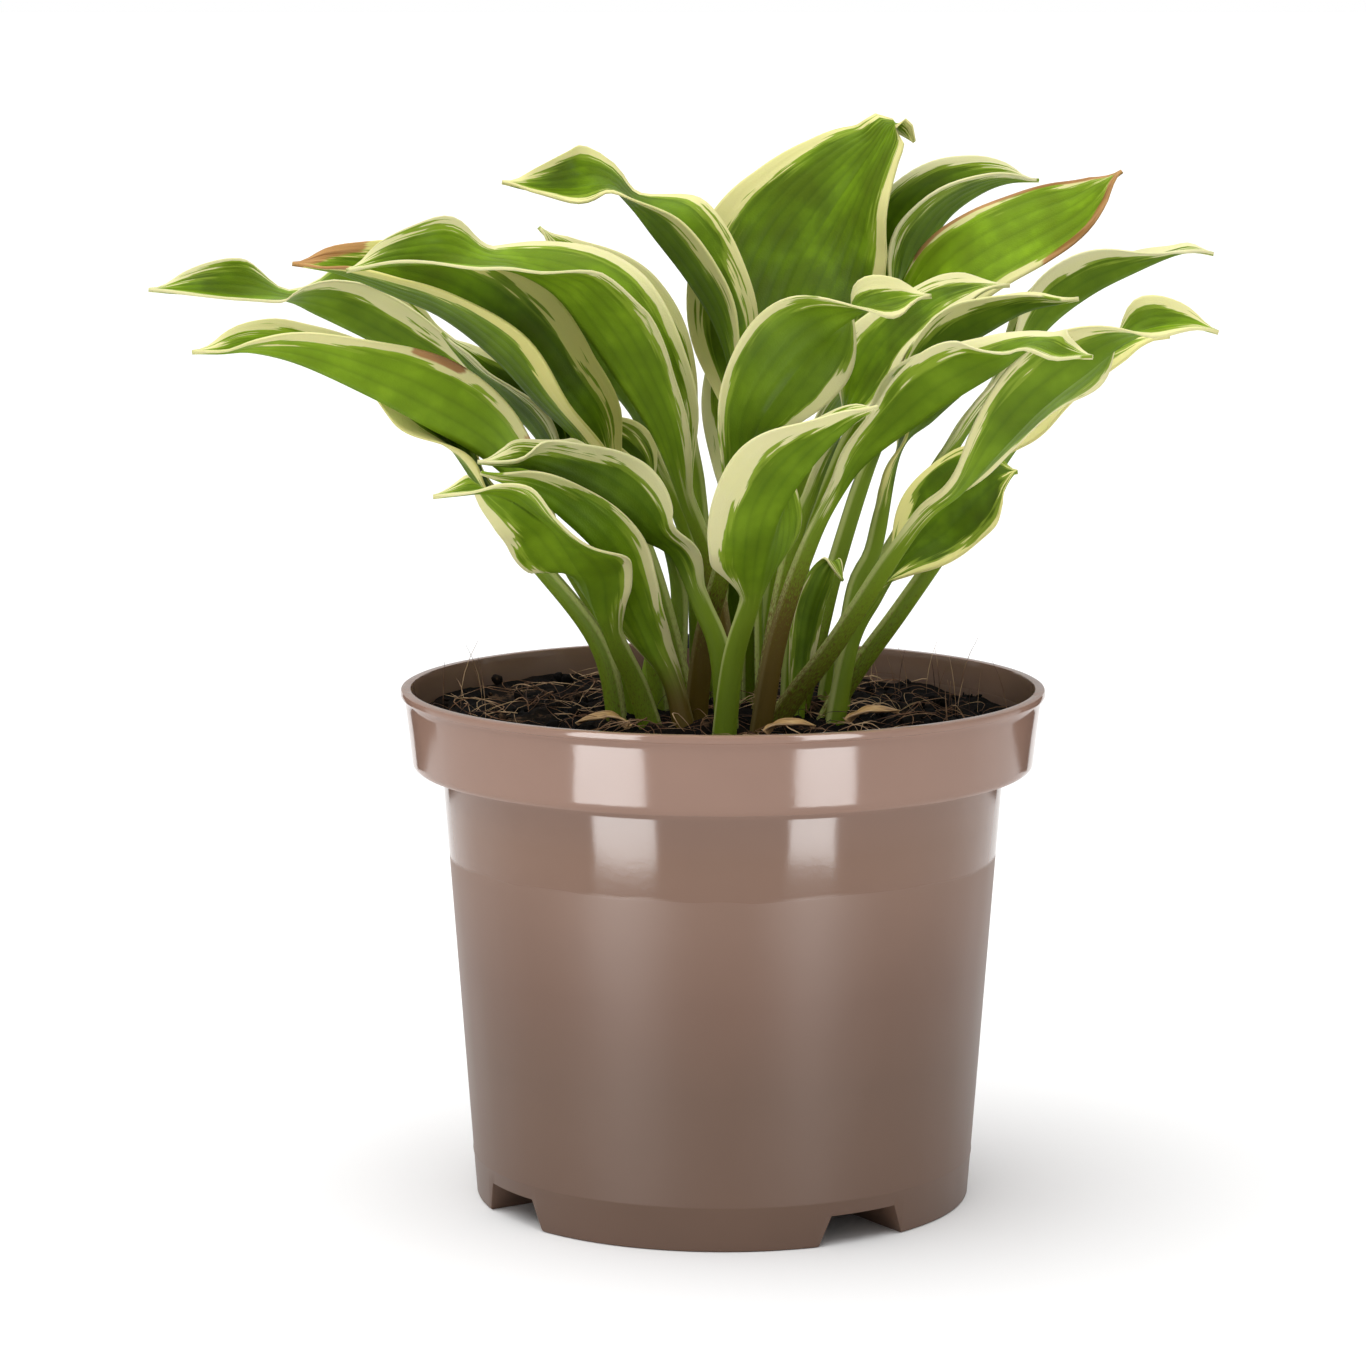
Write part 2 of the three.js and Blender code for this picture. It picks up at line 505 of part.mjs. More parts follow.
// Dried sheath scales that lie on the soil by the stalks, and a chip of bark at the back.
const scale = {
  blade: 0.02, stalk: 0.3, belly: 0.8, curl: -30, wave: [0, 1, 0], stalkSteps: 1, bladeSteps: 8, wing: 2,
};
const SCALES = {
  scale_left: {
    faces: 0, half: 4,
    route: [[-27, -27, SOIL_TOP + 2, -10, -10], [-32, -24, SOIL_TOP + 6, -10, -10],
      [-38, -22, SOIL_TOP + 5, -10, -10], [-43, -20, SOIL_TOP + 2, -10, -10]],
  },
  scale_middle: {
    faces: 180, half: 3.6,
    route: [[12, -34, SOIL_TOP + 1.5, -10, -10], [16, -33, SOIL_TOP + 5, -10, -10],
      [22, -31, SOIL_TOP + 5, -10, -10], [27, -28, SOIL_TOP + 2.5, -10, -10]],
  },
  scale_right: {
    faces: 180, half: 3.6,
    route: [[36, -13, SOIL_TOP + 1.5, -10, -10], [41, -12, SOIL_TOP + 5.5, -10, -10],
      [46, -9, SOIL_TOP + 5.5, -10, -10], [52, -5, SOIL_TOP + 3.5, -10, -10]],
  },
};

// Soil

// How high the soil lies at a place: highest at the back left, with soft lumps all over.
function soilHeight(x, y) {
  const slope = SOIL_RISE * ((y - x) / (2 * RIM_RADIUS));
  const lumps = LUMP_HEIGHT * Math.sin(x / LUMP_LENGTH + 1) * Math.cos(y / LUMP_BREADTH);
  const crumbs = CRUMB_HEIGHT * Math.sin(x / CRUMB_LENGTH - y / CRUMB_BREADTH);
  return SOIL_TOP + slope + lumps + crumbs;
}

// A lid over the whole pot, whose underside is the soil's surface.
function aboveSoil() {
  const size = 2 * RIM_RADIUS;
  const lid = new THREE.BoxGeometry(size, size, LID_HEIGHT, SOIL_GRID, SOIL_GRID, 1);
  lid.translate(0, 0, SOIL_TOP + LID_HEIGHT / 2);
  const corners = lid.attributes.position;
  for (let i = 0; i < corners.count; i += 1) {
    if (corners.getZ(i) > SOIL_TOP + LID_HEIGHT / 2) continue;
    corners.setZ(i, soilHeight(corners.getX(i), corners.getY(i)));
  }
  return solidOf(lid);
}

// The plain round hole that a stalk's foot stands in, along the first stretch of the stalk.
function footHole(leaf) {
  const facing = deg(leaf.faces);
  const middle = new THREE.Vector3(Math.cos(facing), Math.sin(facing), 0).multiplyScalar(STALK_MIDDLE);
  const foot = new THREE.Vector3(...leaf.route[0].slice(0, 3)).add(middle);
  const above = through(leaf.route, HOLE_SHARE / (leaf.route.length - 1)).slice(0, 3);
  const way = new THREE.Vector3(...above).add(middle).sub(foot).normalize();
  const hole = new THREE.CylinderGeometry(HOLE_RADIUS, HOLE_RADIUS, HOLE_REACH, HOLE_SIDES);
  hole.translate(0, HOLE_REACH / 2 - HOLE_SINK, 0);
  hole.applyQuaternion(new THREE.Quaternion().setFromUnitVectors(new THREE.Vector3(0, 1, 0), way));
  return solidOf(hole.translate(foot.x, foot.y, foot.z));
}

function soilGeometry() {
  let soil = roomInside(CLEARANCE, POT_HEIGHT).subtract(aboveSoil());
  for (const leaf of Object.values(LEAVES)) soil = soil.subtract(footHole(leaf));
  return geometryOf(soil);
}

// A bent chip of bark, standing on the soil like a small arch.
function barkGeometry() {
  const outline = new THREE.Shape();
  outline.moveTo(-5, 0);
  outline.lineTo(-4.5, 10);
  outline.lineTo(1, 13);
  outline.lineTo(5, 11);
  outline.lineTo(4.5, 0);
  outline.lineTo(2.5, 0);
  outline.lineTo(2, 9);
  outline.lineTo(-2, 9.5);
  outline.lineTo(-3, 0);
  outline.closePath();
  const chip = new THREE.ExtrudeGeometry(outline, { depth: BARK_THICKNESS, bevelEnabled: false });
  return chip.rotateX(Math.PI / 2);
}

const plastic = new THREE.MeshStandardMaterial({ color: 0x8e7466, roughness: 0.28, metalness: 0 });
const peat = new THREE.MeshStandardMaterial({ color: 0x2a1d15, roughness: 0.95, metalness: 0 });
const leafGreen = new THREE.MeshStandardMaterial({ color: 0x4c7a1e, roughness: 0.45, metalness: 0 });
const dried = new THREE.MeshStandardMaterial({ color: 0xb08a5a, roughness: 0.7, metalness: 0 });
const bark = new THREE.MeshStandardMaterial({ color: 0x1c1512, roughness: 0.9, metalness: 0 });

const group = new THREE.Group();
const container = new THREE.Group();
const plant = new THREE.Group();
const litter = new THREE.Group();
group.add(container, plant, litter);

function piece(parent, name, geometry, material) {
  const mesh = new THREE.Mesh(geometry, material);
  mesh.name = name;
  parent.add(mesh);
  return mesh;
}

// A leaf's mesh stands at its foot: its geometry is drawn from there.
function leafPiece(parent, name, leaf, material) {
  const [x, y, z] = leaf.route[0];
  const geometry = leafGeometry(leaf).translate(-x, -y, -z);
  piece(parent, name, geometry, material).position.set(x, y, z);
}

piece(container, 'pot', potGeometry(), plastic);
piece(container, 'soil', soilGeometry(), peat);
for (const [name, own] of Object.entries(LEAVES)) {
  leafPiece(plant, `leaf_${name}`, { ...usual, ...own }, leafGreen);
}
for (const [name, own] of Object.entries(SCALES)) {
  leafPiece(litter, name, { ...usual, ...scale, ...own }, dried);
}
const chip = piece(litter, 'bark_chip', barkGeometry(), bark);
chip.position.set(BARK_X, BARK_Y, soilHeight(BARK_X, BARK_Y) + BARK_LIFT);

export default group;
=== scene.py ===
"""A potted hosta: twenty-eight cream-edged leaves on channelled stalks, in a taupe nursery pot.

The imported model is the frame. Every piece here is a finer one in the place of its solid.
Metres throughout the scene; the tables and the sizes are millimetres.
"""

import math
import random

import bmesh
import bpy
from mathutils import Matrix, Vector, noise


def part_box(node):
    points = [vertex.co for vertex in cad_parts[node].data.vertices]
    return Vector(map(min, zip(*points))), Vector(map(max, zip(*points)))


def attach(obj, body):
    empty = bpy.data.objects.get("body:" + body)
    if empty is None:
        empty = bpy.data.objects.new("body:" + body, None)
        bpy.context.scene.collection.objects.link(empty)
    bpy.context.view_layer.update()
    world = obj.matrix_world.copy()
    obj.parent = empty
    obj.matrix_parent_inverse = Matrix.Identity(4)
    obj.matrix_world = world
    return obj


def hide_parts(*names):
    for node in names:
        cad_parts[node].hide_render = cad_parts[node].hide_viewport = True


bl_info = {
    "name": "Potted hosta",
    "version": (1, 0, 0),
    "blender": (4, 5, 0),
    "location": "View3D > Sidebar > Hosta",
    "description": "Builds a hosta in a nursery pot, with its soil and its studio",
    "category": "Add Mesh",
}

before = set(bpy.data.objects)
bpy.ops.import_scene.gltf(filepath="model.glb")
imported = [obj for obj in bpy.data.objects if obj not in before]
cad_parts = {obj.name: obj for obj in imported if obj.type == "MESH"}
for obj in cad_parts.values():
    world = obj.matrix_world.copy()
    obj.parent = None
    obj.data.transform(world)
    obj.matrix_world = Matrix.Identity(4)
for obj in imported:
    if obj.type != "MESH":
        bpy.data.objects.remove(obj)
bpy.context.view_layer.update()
MM = 0.001

# Pot, millimetres
BODY_FOOT_RADIUS = 73.4
BODY_TOP_RADIUS = 82.8
BAND_FOOT_RADIUS = 91.6
BAND_RADIUS = 93.7
RIM_RADIUS = 95.0
BAND_DEPTH = 24.0
BEAD = 2.2
EDGE = 0.7
LEDGE_ROUND = 1.6
FLOOR = 2.2
MOULD_LINE = 12.5
MOULD_STEP = 0.14
NOTCH_COUNT = 4
NOTCH_TURN = 33.5
NOTCH_HEIGHT = 9.0
NOTCH_FOOT_WIDTH = 30.0
NOTCH_TOP_WIDTH = 22.0
NOTCH_INNER_RADIUS = 40.0
DRAIN_RADIUS = 5.0
DRAIN_DISTANCE = 56.0
BODY_RINGS = (60, 100)
EDGE_SOFTENING = 0.35
POLISH_FOOT = 103.5
POLISH_FADE = 2.0

# Soil, millimetres
SOIL_TOP = 142.0
SOIL_RISE = 2.5
LUMP_HEIGHT = 0.9
LUMP_LENGTH = 9.0
LUMP_BREADTH = 11.0
CRUMB_HEIGHT = 0.6
CRUMB_LENGTH = 5.0
CRUMB_BREADTH = 6.0
SOIL_GAP = 0.4
MOUND = 1.6
MOUND_FROM = 60.0
MOUND_TO = 20.0
CLOD = 5.5
SMALL_CLOD = 2.3
CRUMB_REACH = 88.0
CRUMB_SIZES = (0.4, 1.0)
BIG_CRUMB_SIZES = (1.0, 2.3)
FIBRE_START = 84.0
FIBRE_REACH = 87.0
FIBRE_STEPS = 10
FIBRE_RADIUS = 0.2
FINE_FIBRE_RADIUS = 0.11
HAIRS = 34
HAIR_RADIUS = 0.11
HAIR_RING = (66, 86)
HAIR_HEIGHTS = (8, 20)

# Leaves: millimetres, degrees and shares of the length, as in the part's own source
STALK_HALF = 4.0
STALK_RIM = 0.9
STALK_FOOT_HALF = 5.4
STALK_FOLD = 14.0
STALK_CURL = 92.0
STALK_THICKNESS = 1.7
BLADE_THICKNESS = 0.8
MIDRIB_THICKNESS = 1.3
TIP_HALF = 0.3
BLADE_ROUNDNESS = 0.95
SPINE_STEPS = 120
STALK_FADE = 0.6
OPEN_FROM = -0.12
OPEN_TO = 0.3
RIPPLE_POWER = 2.5
RIPPLE_FADE = 0.75
RIPPLE_SHIFT = 0.4
STALK_HOLLOW = 1.2
BLADE_HOLLOW = 5.0
FLAT_TIP_HALF = 5.0
SAMPLES_PER_VEIN = 5
VEIN_FADE = (1.0, 4.0)
FINE_ROWS_FROM = 0.9
STAIN_TOP = 235.0
UV_UNIT = 10.0
UV_APART = 7

# Studio: metres and degrees, but the floor and the flags in millimetres
CAMERA_PLACE = (0, -1.3174, 0.34936)
CAMERA_DIP = 8.491
CAMERA_TURN = 0.51
SENSOR_WIDTH = 36
KEY_PLACE = (-0.3, -0.15, 2.0)
KEY_TARGET = (0, 0, 0.15)
KEY_ANGLE = 78
STRIPS = {"left": (-37.6, 0.17), "right": (34.3, 0.13)}
STRIP_USUAL_WIDTH = 0.15
STRIP_HEIGHT = 0.42
STRIP_AWAY = 0.4
STRIP_RISE = 0.212
FLAG_HALF = 150
FLAG_PLACE = (420, 430, 150)
FLAG_TURN = 45
FLOOR_HALF = 400000
FLOOR_DROP = 0.05

LEAVES = {
    "left_far": {
        "faces": 0, "blade": 0.44, "half": 18, "belly": 1.25, "wave": (1, 2, 0.2),
        "route": ((-27, 21, 131, 0, 0), (-22, 32, 176, 0, 0), (-51, 40, 219, 0, 0),
            (-76, 44, 239, 40, 25), (-94, 42, 246, 75, 55), (-112, 40, 255, 85, 60),
            (-122, 38, 260, 60, 45), (-131, 38, 264, 5, 3), (-145, 36, 265, 60, -5),
            (-157, 35, 266, 80, -5), (-172, 34, 267, 30, 0)),
    },
    "left_low": {
        "faces": 0, "blade": 0.34, "half": 20, "wave": (1, 2, 0),
        "route": ((-23, 2, 131, 0, 0), (-34, 4, 165, 0, 0), (-46, 4, 187, 0, 0),
            (-58, 0, 209, 30, 45), (-70, -4, 221, 30, 80), (-87, -8, 231, 30, 75),
            (-101, -12, 239, 30, 65), (-121, -18, 249, 40, 50), (-135, -22, 253, 75, 25),
            (-144, -26, 253, 60, 0), (-152, -28, 253, 30, 0)),
    },
    "left_under": {
        "faces": 0, "blade": 0.5, "half": 11, "wave": (2, 2, 0),
        "route": ((-31, -6, 131, 0, 0), (-37, -8, 164, 0, 0), (-58, -4, 192, 0, 0),
            (-71, 0, 211, 20, 20), (-80, 2, 224, 40, -10), (-90, 3, 234, 40, -30),
            (-99, 4, 239, 40, -40), (-110, 5, 245, 30, -30)),
    },
    "left_bands": {
        "faces": 0, "blade": 0.38, "half": 25, "belly": 0.95, "wave": (1, 2, 0),
        "route": ((-9, 5, 131, 0, 0), (-20, 8, 179, 0, 0), (-30, 8, 205, 0, 0),
            (-41, 5, 223, 75, 15), (-54, 3, 236, 85, 22), (-66, 2, 249, 88, 26),
            (-81, 1, 261, 85, 24), (-96, 0, 268, 80, 22), (-110, -3, 274, 70, 15),
            (-118, -5, 276, 60, 0), (-125, -6, 277, 40, 0)),
    },
    "left_tall": {
        "faces": 0, "blade": 0.36, "half": 25, "belly": 0.95, "wave": (0.8, 2, 0),
        "route": ((2, 3, 131, 0, 0), (-3, 2, 180, 0, 0), (-11, 0, 206, 50, 20),
            (-19, -4, 226, 88, 45), (-29, -6, 242, 90, 48), (-39, -9, 257, 70, 45),
            (-48, -14, 269, 25, 35), (-60, -19, 276, 8, 8), (-71, -21, 277, 25, 3),
            (-84, -22, 278, 80, 3), (-95, -23, 278, 85, 3), (-108, -24, 276, 40, 0)),
    },
    "left_behind": {
        "faces": 0, "blade": 0.48, "half": 15, "wave": (1.5, 2, 0),
        "route": ((-8, 28, 131, 0, 0), (-10, 33, 185, 0, 0), (-21, 39, 215, 0, 0),
            (-26, 39, 228, 50, 30), (-37, 38, 242, 60, 50), (-49, 36, 257, 60, 50),
            (-62, 32, 268, 40, 20), (-73, 32, 269, 30, 0)),
    },
    "upper_left": {
        "faces": 0, "blade": 0.42, "half": 19, "belly": 1.2, "wave": (0.6, 2, 0),
        "route": ((1, 17, 131, 0, 0), (-3, 25, 177, 0, 0), (0, 29, 200, 0, 0),
            (4, 32, 224, 0, 0), (3, 34, 242, 40, 15), (-2, 35, 257, 80, 30),
            (-10, 36, 270, 80, 30), (-20, 36, 283, 60, 28), (-27, 36, 292, 10, 10),
            (-34, 36, 298, 20, -5), (-44, 36, 297, 85, -20), (-56, 36, 297, 85, -10),
            (-66, 36, 299, 40, 0)),
    },
    "left_hooded": {
        "faces": 0, "blade": 0.5, "half": 14, "belly": 1.2, "wave": (1, 2, 0),
        "route": ((-6, 40, 131, 0, 0), (-7, 52, 183, 0, 0), (-10, 58, 216, 0, 0),
            (-13, 62, 231, 40, 20), (-17, 64, 242, 60, 20), (-23, 66, 252, 60, 20),
            (-32, 66, 261, 60, 0), (-40, 66, 269, 60, -30), (-48, 66, 276, 55, -50),
            (-56, 66, 284, 30, -30)),
    },
    "left_shaded": {
        "faces": 0, "blade": 0.5, "half": 15, "wave": (1.5, 2, 0),
        "route": ((-19, 13, 131, 0, 0), (-25, 18, 175, 0, 0), (-44, 20, 205, 0, 0),
            (-54, 20, 223, 60, 20), (-65, 20, 235, 80, 30), (-74, 20, 244, 70, 20),
            (-83, 20, 255, 30, 10)),
    },
    "left_inner": {
        "faces": 0, "blade": 0.45, "half": 10.5, "wave": (1.5, 2, 0),
        "route": ((-17, 25, 131, 0, 0), (-14, 25, 177, 0, 0), (-22, 22, 205, 20, 0),
            (-29, 22, 217, 60, 20), (-37, 22, 224, 80, 20), (-44, 22, 229, 60, 10),
            (-50, 22, 231, 30, 0)),
    },
    "middle_back": {
        "faces": 270, "blade": 0.5, "half": 11, "wave": (1, 2, 0),
        "route": ((2, 30, 131, 0, 0), (4, 46, 184, 0, 0), (5, 56, 216, 0, 0),
            (4, 62, 231, 15, 15), (3, 64, 243, 15, 15), (0, 64, 252, 15, 15),
            (-6, 64, 258, 10, 10)),
    },
    "front_left": {
        "faces": 40, "blade": 0.33, "half": 16, "belly": 0.85, "wave": (1, 2, 0),
        "route": ((-20, -13, 131, 0, 0), (-26, -19, 153, 0, 0), (-31, -26, 166, 0, 0),
            (-36, -34, 180, 0, 25), (-38, -40, 188, -5, 35), (-41, -47, 194, -25, 25),
            (-47, -57, 205, -35, -10), (-54, -65, 212, -45, -5), (-60, -70, 216, -30, 20),
            (-66, -75, 218, 20, 15), (-71, -78, 218, 60, 0), (-80, -80, 217, 40, 0)),
    },
    "front_left_short": {
        "faces": 65, "blade": 0.2, "half": 13, "belly": 1, "wave": (0.8, 2, 0),
        "route": ((-10, -19, 131, 0, 0), (-15, -20, 154, 0, 0), (-21, -22, 167, 0, 0),
            (-26, -26, 179, 0, -5), (-30, -30, 188, 30, 0), (-35, -35, 196, 50, 25),
            (-44, -42, 206, 55, 50), (-54, -50, 215, 45, 40), (-68, -54, 221, 20, 20)),
    },
    "front_left_arch": {
        "faces": 40, "blade": 0.4, "half": 17, "belly": 0.9, "wave": (1, 2, 0),
        "route": ((0, -17, 131, 0, 0), (-2, -22, 163, 0, 0), (-7, -24, 178, 0, 0),
            (-14, -27, 194, 35, 0), (-23, -30, 200, 55, 30), (-31, -34, 206, 60, 55),
            (-40, -38, 213, 62, 62), (-46, -42, 217, 62, 62), (-55, -46, 222, 60, 50),
            (-61, -50, 223, 60, 10), (-69, -53, 224, 30, 10)),
    },
    "tall_back": {
        "faces": 225, "blade": 0.42, "half": 30, "belly": 0.92, "wave": (1.2, 2, 0),
        "route": ((11, 21, 131, 0, 0), (10, 38, 203, 0, 0), (12, 44, 230, 0, 0),
            (15, 50, 253, -38, 50), (22, 54, 272, -30, 50), (31, 56, 287, -15, 42),
            (40, 56, 300, 5, 25), (46, 55, 309, 8, 0), (50, 55, 315, 0, 0), (54, 55, 315, 0, 0),
            (58, 55, 310, 0, 0)),
    },
    "middle_ovate": {
        "faces": 150, "blade": 0.38, "half": 16, "belly": 1.35, "wave": (1, 2, 0),
        "route": ((-7, -8, 131, 0, 0), (-4, -11, 166, 0, 0), (2, -22, 193, 0, 0),
            (6, -40, 224, 10, 0), (11, -46, 238, 50, -40), (21, -52, 252, 65, -40),
            (30, -56, 261, 50, -10), (39, -58, 267, 0, 50), (49, -58, 270, -50, 75),
            (58, -58, 271, -10, 40)),
    },
    "front_middle": {
        "faces": 122, "blade": 0.4, "half": 21, "belly": 0.85, "wave": (1.5, 2, 0),
        "route": ((1, -27, 131, 0, 0), (4, -34, 163, 0, 0), (9, -46, 183, 0, 0),
            (12, -58, 199, 0, 30), (16, -68, 212, 15, 60), (23, -77, 224, 25, 70),
            (30, -84, 233, 25, 65), (37, -89, 240, 15, 55), (42, -92, 243, 0, 30)),
    },
    "right_long": {
        "faces": 170, "blade": 0.4, "half": 16, "belly": 1.2, "wave": (1.2, 2, 0),
        "route": ((11, -19, 131, 0, 0), (17, -25, 169, 0, 0), (26, -34, 199, 0, 0),
            (34, -38, 215, 10, 20), (41, -42, 224, 40, 50), (53, -50, 234, 55, 80),
            (63, -58, 242, 60, 60), (76, -66, 251, 50, 40), (85, -73, 258, 5, 10),
            (93, -79, 256, -10, 80), (101, -84, 256, -5, 40)),
    },
    "right_behind": {
        "faces": 180, "blade": 0.45, "half": 12, "wave": (2, 2, 0),
        "route": ((11, 9, 131, 0, 0), (20, 14, 185, 0, 0), (27, 17, 208, 0, 0),
            (34, 15, 226, 0, 0), (41, 12, 243, -35, 40), (49, 10, 255, -45, 50),
            (61, 8, 265, -45, 50), (72, 8, 269, -30, 40), (84, 8, 270, -10, 20)),
    },
    "right_dark": {
        "faces": 180, "blade": 0.5, "half": 13, "wave": (1, 2, 0),
        "route": ((21, 12, 131, 0, 0), (29, 16, 162, 0, 0), (35, 16, 187, 0, 0),
            (46, 13, 222, 0, 0), (57, 9, 239, 40, 40), (68, 3, 251, 60, 60),
            (78, 0, 258, 60, 50), (89, -3, 264, 50, 30), (103, -6, 267, 20, 10)),
    },
    "right_second": {
        "faces": 180, "blade": 0.5, "half": 13, "wave": (1.5, 2, 0),
        "route": ((35, 14, 131, 0, 0), (40, 20, 175, 0, 0), (46, 23, 190, 0, 0),
            (52, 26, 219, 0, 0), (62, 27, 229, 50, 50), (73, 26, 239, 50, 50),
            (84, 24, 248, 30, 30), (94, 22, 255, 20, 20)),
    },
    "back_right": {
        "faces": 180, "blade": 0.42, "half": 25, "belly": 0.95, "wave": (1.2, 2, 0),
        "route": ((13, 36, 131, 0, 0), (18, 54, 183, 0, 0), (33, 64, 225, 0, 0),
            (48, 68, 249, 10, 50), (55, 70, 264, 15, 75), (62, 70, 278, 28, 85),
            (69, 70, 288, 28, 85), (79, 72, 295, 25, 70), (88, 75, 298, 15, 55),
            (97, 78, 298, 0, 10)),
    },
    "right_flat": {
        "faces": 180, "blade": 0.45, "half": 16, "belly": 1.3, "wave": (0.8, 2, 0),
        "route": ((21, 25, 131, 0, 0), (25, 36, 185, 0, 0), (40, 42, 224, 0, 0),
            (54, 45, 254, -20, 20), (67, 47, 269, -45, 45), (79, 46, 278, -50, 50),
            (92, 45, 285, -55, 50), (106, 43, 292, -60, 50), (119, 42, 302, -60, 40)),
    },
    "right_far": {
        "faces": 180, "blade": 0.48, "half": 14, "wave": (1.5, 2, 0),
        "route": ((31, 24, 131, 0, 0), (37, 32, 161, 0, 0), (55, 42, 192, 0, 0),
            (73, 46, 223, 0, 0), (87, 46, 242, 20, 20), (98, 44, 256, 50, 40),
            (110, 38, 266, 60, 40), (123, 35, 273, 50, 30), (134, 32, 278, 15, 10),
            (140, 31, 279, -10, 40), (146, 30, 278, 0, 20)),
    },
    "right_front": {
        "faces": 160, "blade": 0.42, "half": 16, "belly": 1.2, "wave": (1.5, 2, 0),
        "route": ((10, -9, 131, 0, 0), (23, -13, 151, 0, 0), (34, -20, 167, 0, 0),
            (55, -38, 203, 0, 0), (67, -46, 215, 10, 0), (78, -50, 228, 45, -10),
            (89, -54, 240, 50, -10), (101, -57, 250, 45, -10), (111, -58, 258, 20, 20),
            (120, -59, 262, -10, 70), (130, -60, 263, -10, 60), (138, -60, 261, 0, 20)),
    },
    "right_hidden": {
        "faces": 170, "blade": 0.5, "half": 11, "wave": (1.5, 2, 0),
        "route": ((28, 4, 131, 0, 0), (38, 5, 151, 0, 0), (53, 3, 173, 0, 0), (68, 0, 196, 0, 0),
            (84, -3, 222, 0, 0), (95, -12, 237, -20, 30), (106, -26, 251, -45, 40),
            (116, -30, 256, -35, 40), (127, -32, 258, -20, 20)),
    },
    "right_low": {
        "faces": 180, "blade": 0.4, "half": 16, "belly": 1.6, "wave": (1.5, 2, 0),
        "route": ((33, -6, 131, 0, 0), (38, -7, 164, 0, 0), (45, -9, 179, 0, 0),
            (52, -12, 191, -20, 30), (62, -15, 203, -55, 50), (70, -18, 212, -62, 50),
            (78, -20, 217, -65, 50), (85, -20, 218, -50, 30)),
    },
    "young": {
        "faces": 100, "blade": 0.3, "half": 5, "curl": 20, "stalk": 0.8, "wave": (0, 1, 0),
        "route": ((21, 1, 131, 0, 0), (23, 2, 156, 0, 0), (25, 0, 171, 20, 20),
            (28, -4, 182, 30, 20), (32, -8, 190, 30, 20), (35, -12, 185, 30, 20)),
    },
}

# What each leaf wears: the cream edge's width in millimetres on its two wings, how yellow that
# edge is, how light the green is (partly its own tone, partly painted shade deep in the clump and
# painted light on the open leaves), how purple the stalk's foot is, and the dry brown patches as
# (wing, from, to, depth in millimetres), with from and to as shares of the blade.
DRESS = {
    "left_far": {"edge": (3.0, 4.5), "yellow": 0.1, "light": 0.1, "purple": 0.3},
    "left_low": {"edge": (4.0, 3.0), "yellow": 0.3, "light": 0.7, "purple": 0.3,
                 "dry": ((1, 0.13, 0.24, 4.0), (1, 0.42, 0.55, 3.0))},
    "left_under": {"edge": (3.5, 3.5), "yellow": 0.6, "light": -0.3, "purple": 0.4},
    "left_bands": {"edge": (6.0, 8.0), "yellow": 0.7, "light": 0.2, "purple": 0.5,
                   "dry": ((0, 0.85, 1.0, 6.0), (1, 0.88, 1.0, 3.0))},
    "left_tall": {"edge": (3.2, 2.2), "yellow": 0.15, "light": 0.4, "purple": 1.0},
    "left_behind": {"edge": (2.5, 1.8), "yellow": 0.3, "light": -0.2, "purple": 0.4},
    "upper_left": {"edge": (3.6, 4.2), "yellow": 0.35, "light": 0.0, "purple": 0.5},
    "left_hooded": {"edge": (3.0, 3.2), "yellow": 0.2, "light": -0.1, "purple": 0.4},
    "left_shaded": {"edge": (3.5, 3.0), "yellow": 0.0, "light": -0.4, "purple": 0.4},
    "left_inner": {"edge": (2.5, 2.0), "yellow": 0.4, "light": -0.5, "purple": 0.4},
    "middle_back": {"edge": (3.0, 3.0), "yellow": 0.1, "light": -0.3, "purple": 0.2},
    "front_left": {"edge": (2.8, 2.6), "yellow": 0.2, "light": 0.1, "purple": 0.4},
    "front_left_short": {"edge": (2.2, 2.4), "yellow": 0.2, "light": 0.4, "purple": 1.0},
    "front_left_arch": {"edge": (4.2, 3.6), "yellow": 0.1, "light": -0.25, "purple": 0.2},
    "tall_back": {"edge": (5.0, 5.0), "yellow": 0.45, "light": 0.05, "purple": 0.4},
    "middle_ovate": {"edge": (2.4, 4.0), "yellow": 0.2, "light": 0.1, "purple": 0.9},
    "front_middle": {"edge": (4.6, 1.6), "yellow": 0.15, "light": 0.05, "purple": 0.0},
    "right_long": {"edge": (2.2, 2.8), "yellow": 0.1, "light": 0.1, "purple": 1.0},
    "right_behind": {"edge": (3.0, 3.4), "yellow": 0.15, "light": -0.2, "purple": 0.7},
    "right_dark": {"edge": (1.8, 2.2), "yellow": 0.2, "light": -0.35, "purple": 0.5},
    "right_second": {"edge": (2.6, 3.0), "yellow": 0.7, "light": -0.3, "purple": 0.3},
    "back_right": {"edge": (3.0, 3.4), "yellow": 0.0, "light": -0.15, "purple": 0.3,
                   "dry": ((1, 0.4, 0.52, 3.5),)},
    "right_flat": {"edge": (1.2, 1.6), "yellow": 0.3, "light": 0.7, "purple": 0.2,
                   "dry": ((1, 0.45, 1.0, 1.8), (0, 0.72, 1.0, 2.6))},
    "right_far": {"edge": (3.2, 3.6), "yellow": 0.0, "light": -0.1, "purple": 0.2},
    "right_front": {"edge": (3.0, 3.6), "yellow": 0.25, "light": 0.1, "purple": 0.6},
    "right_hidden": {"edge": (4.0, 4.0), "yellow": 0.5, "light": 0.0, "purple": 0.5},
    "right_low": {"edge": (2.0, 2.4), "yellow": 0.6, "light": -0.35, "purple": 0.2},
    "young": {"edge": (0.3, 0.3), "yellow": 0.2, "light": -0.1, "purple": 0.2},
}

USUAL = {"stalk": 1.0, "belly": 1.0, "curl": 0.0, "wave": (1.5, 2, 0)}

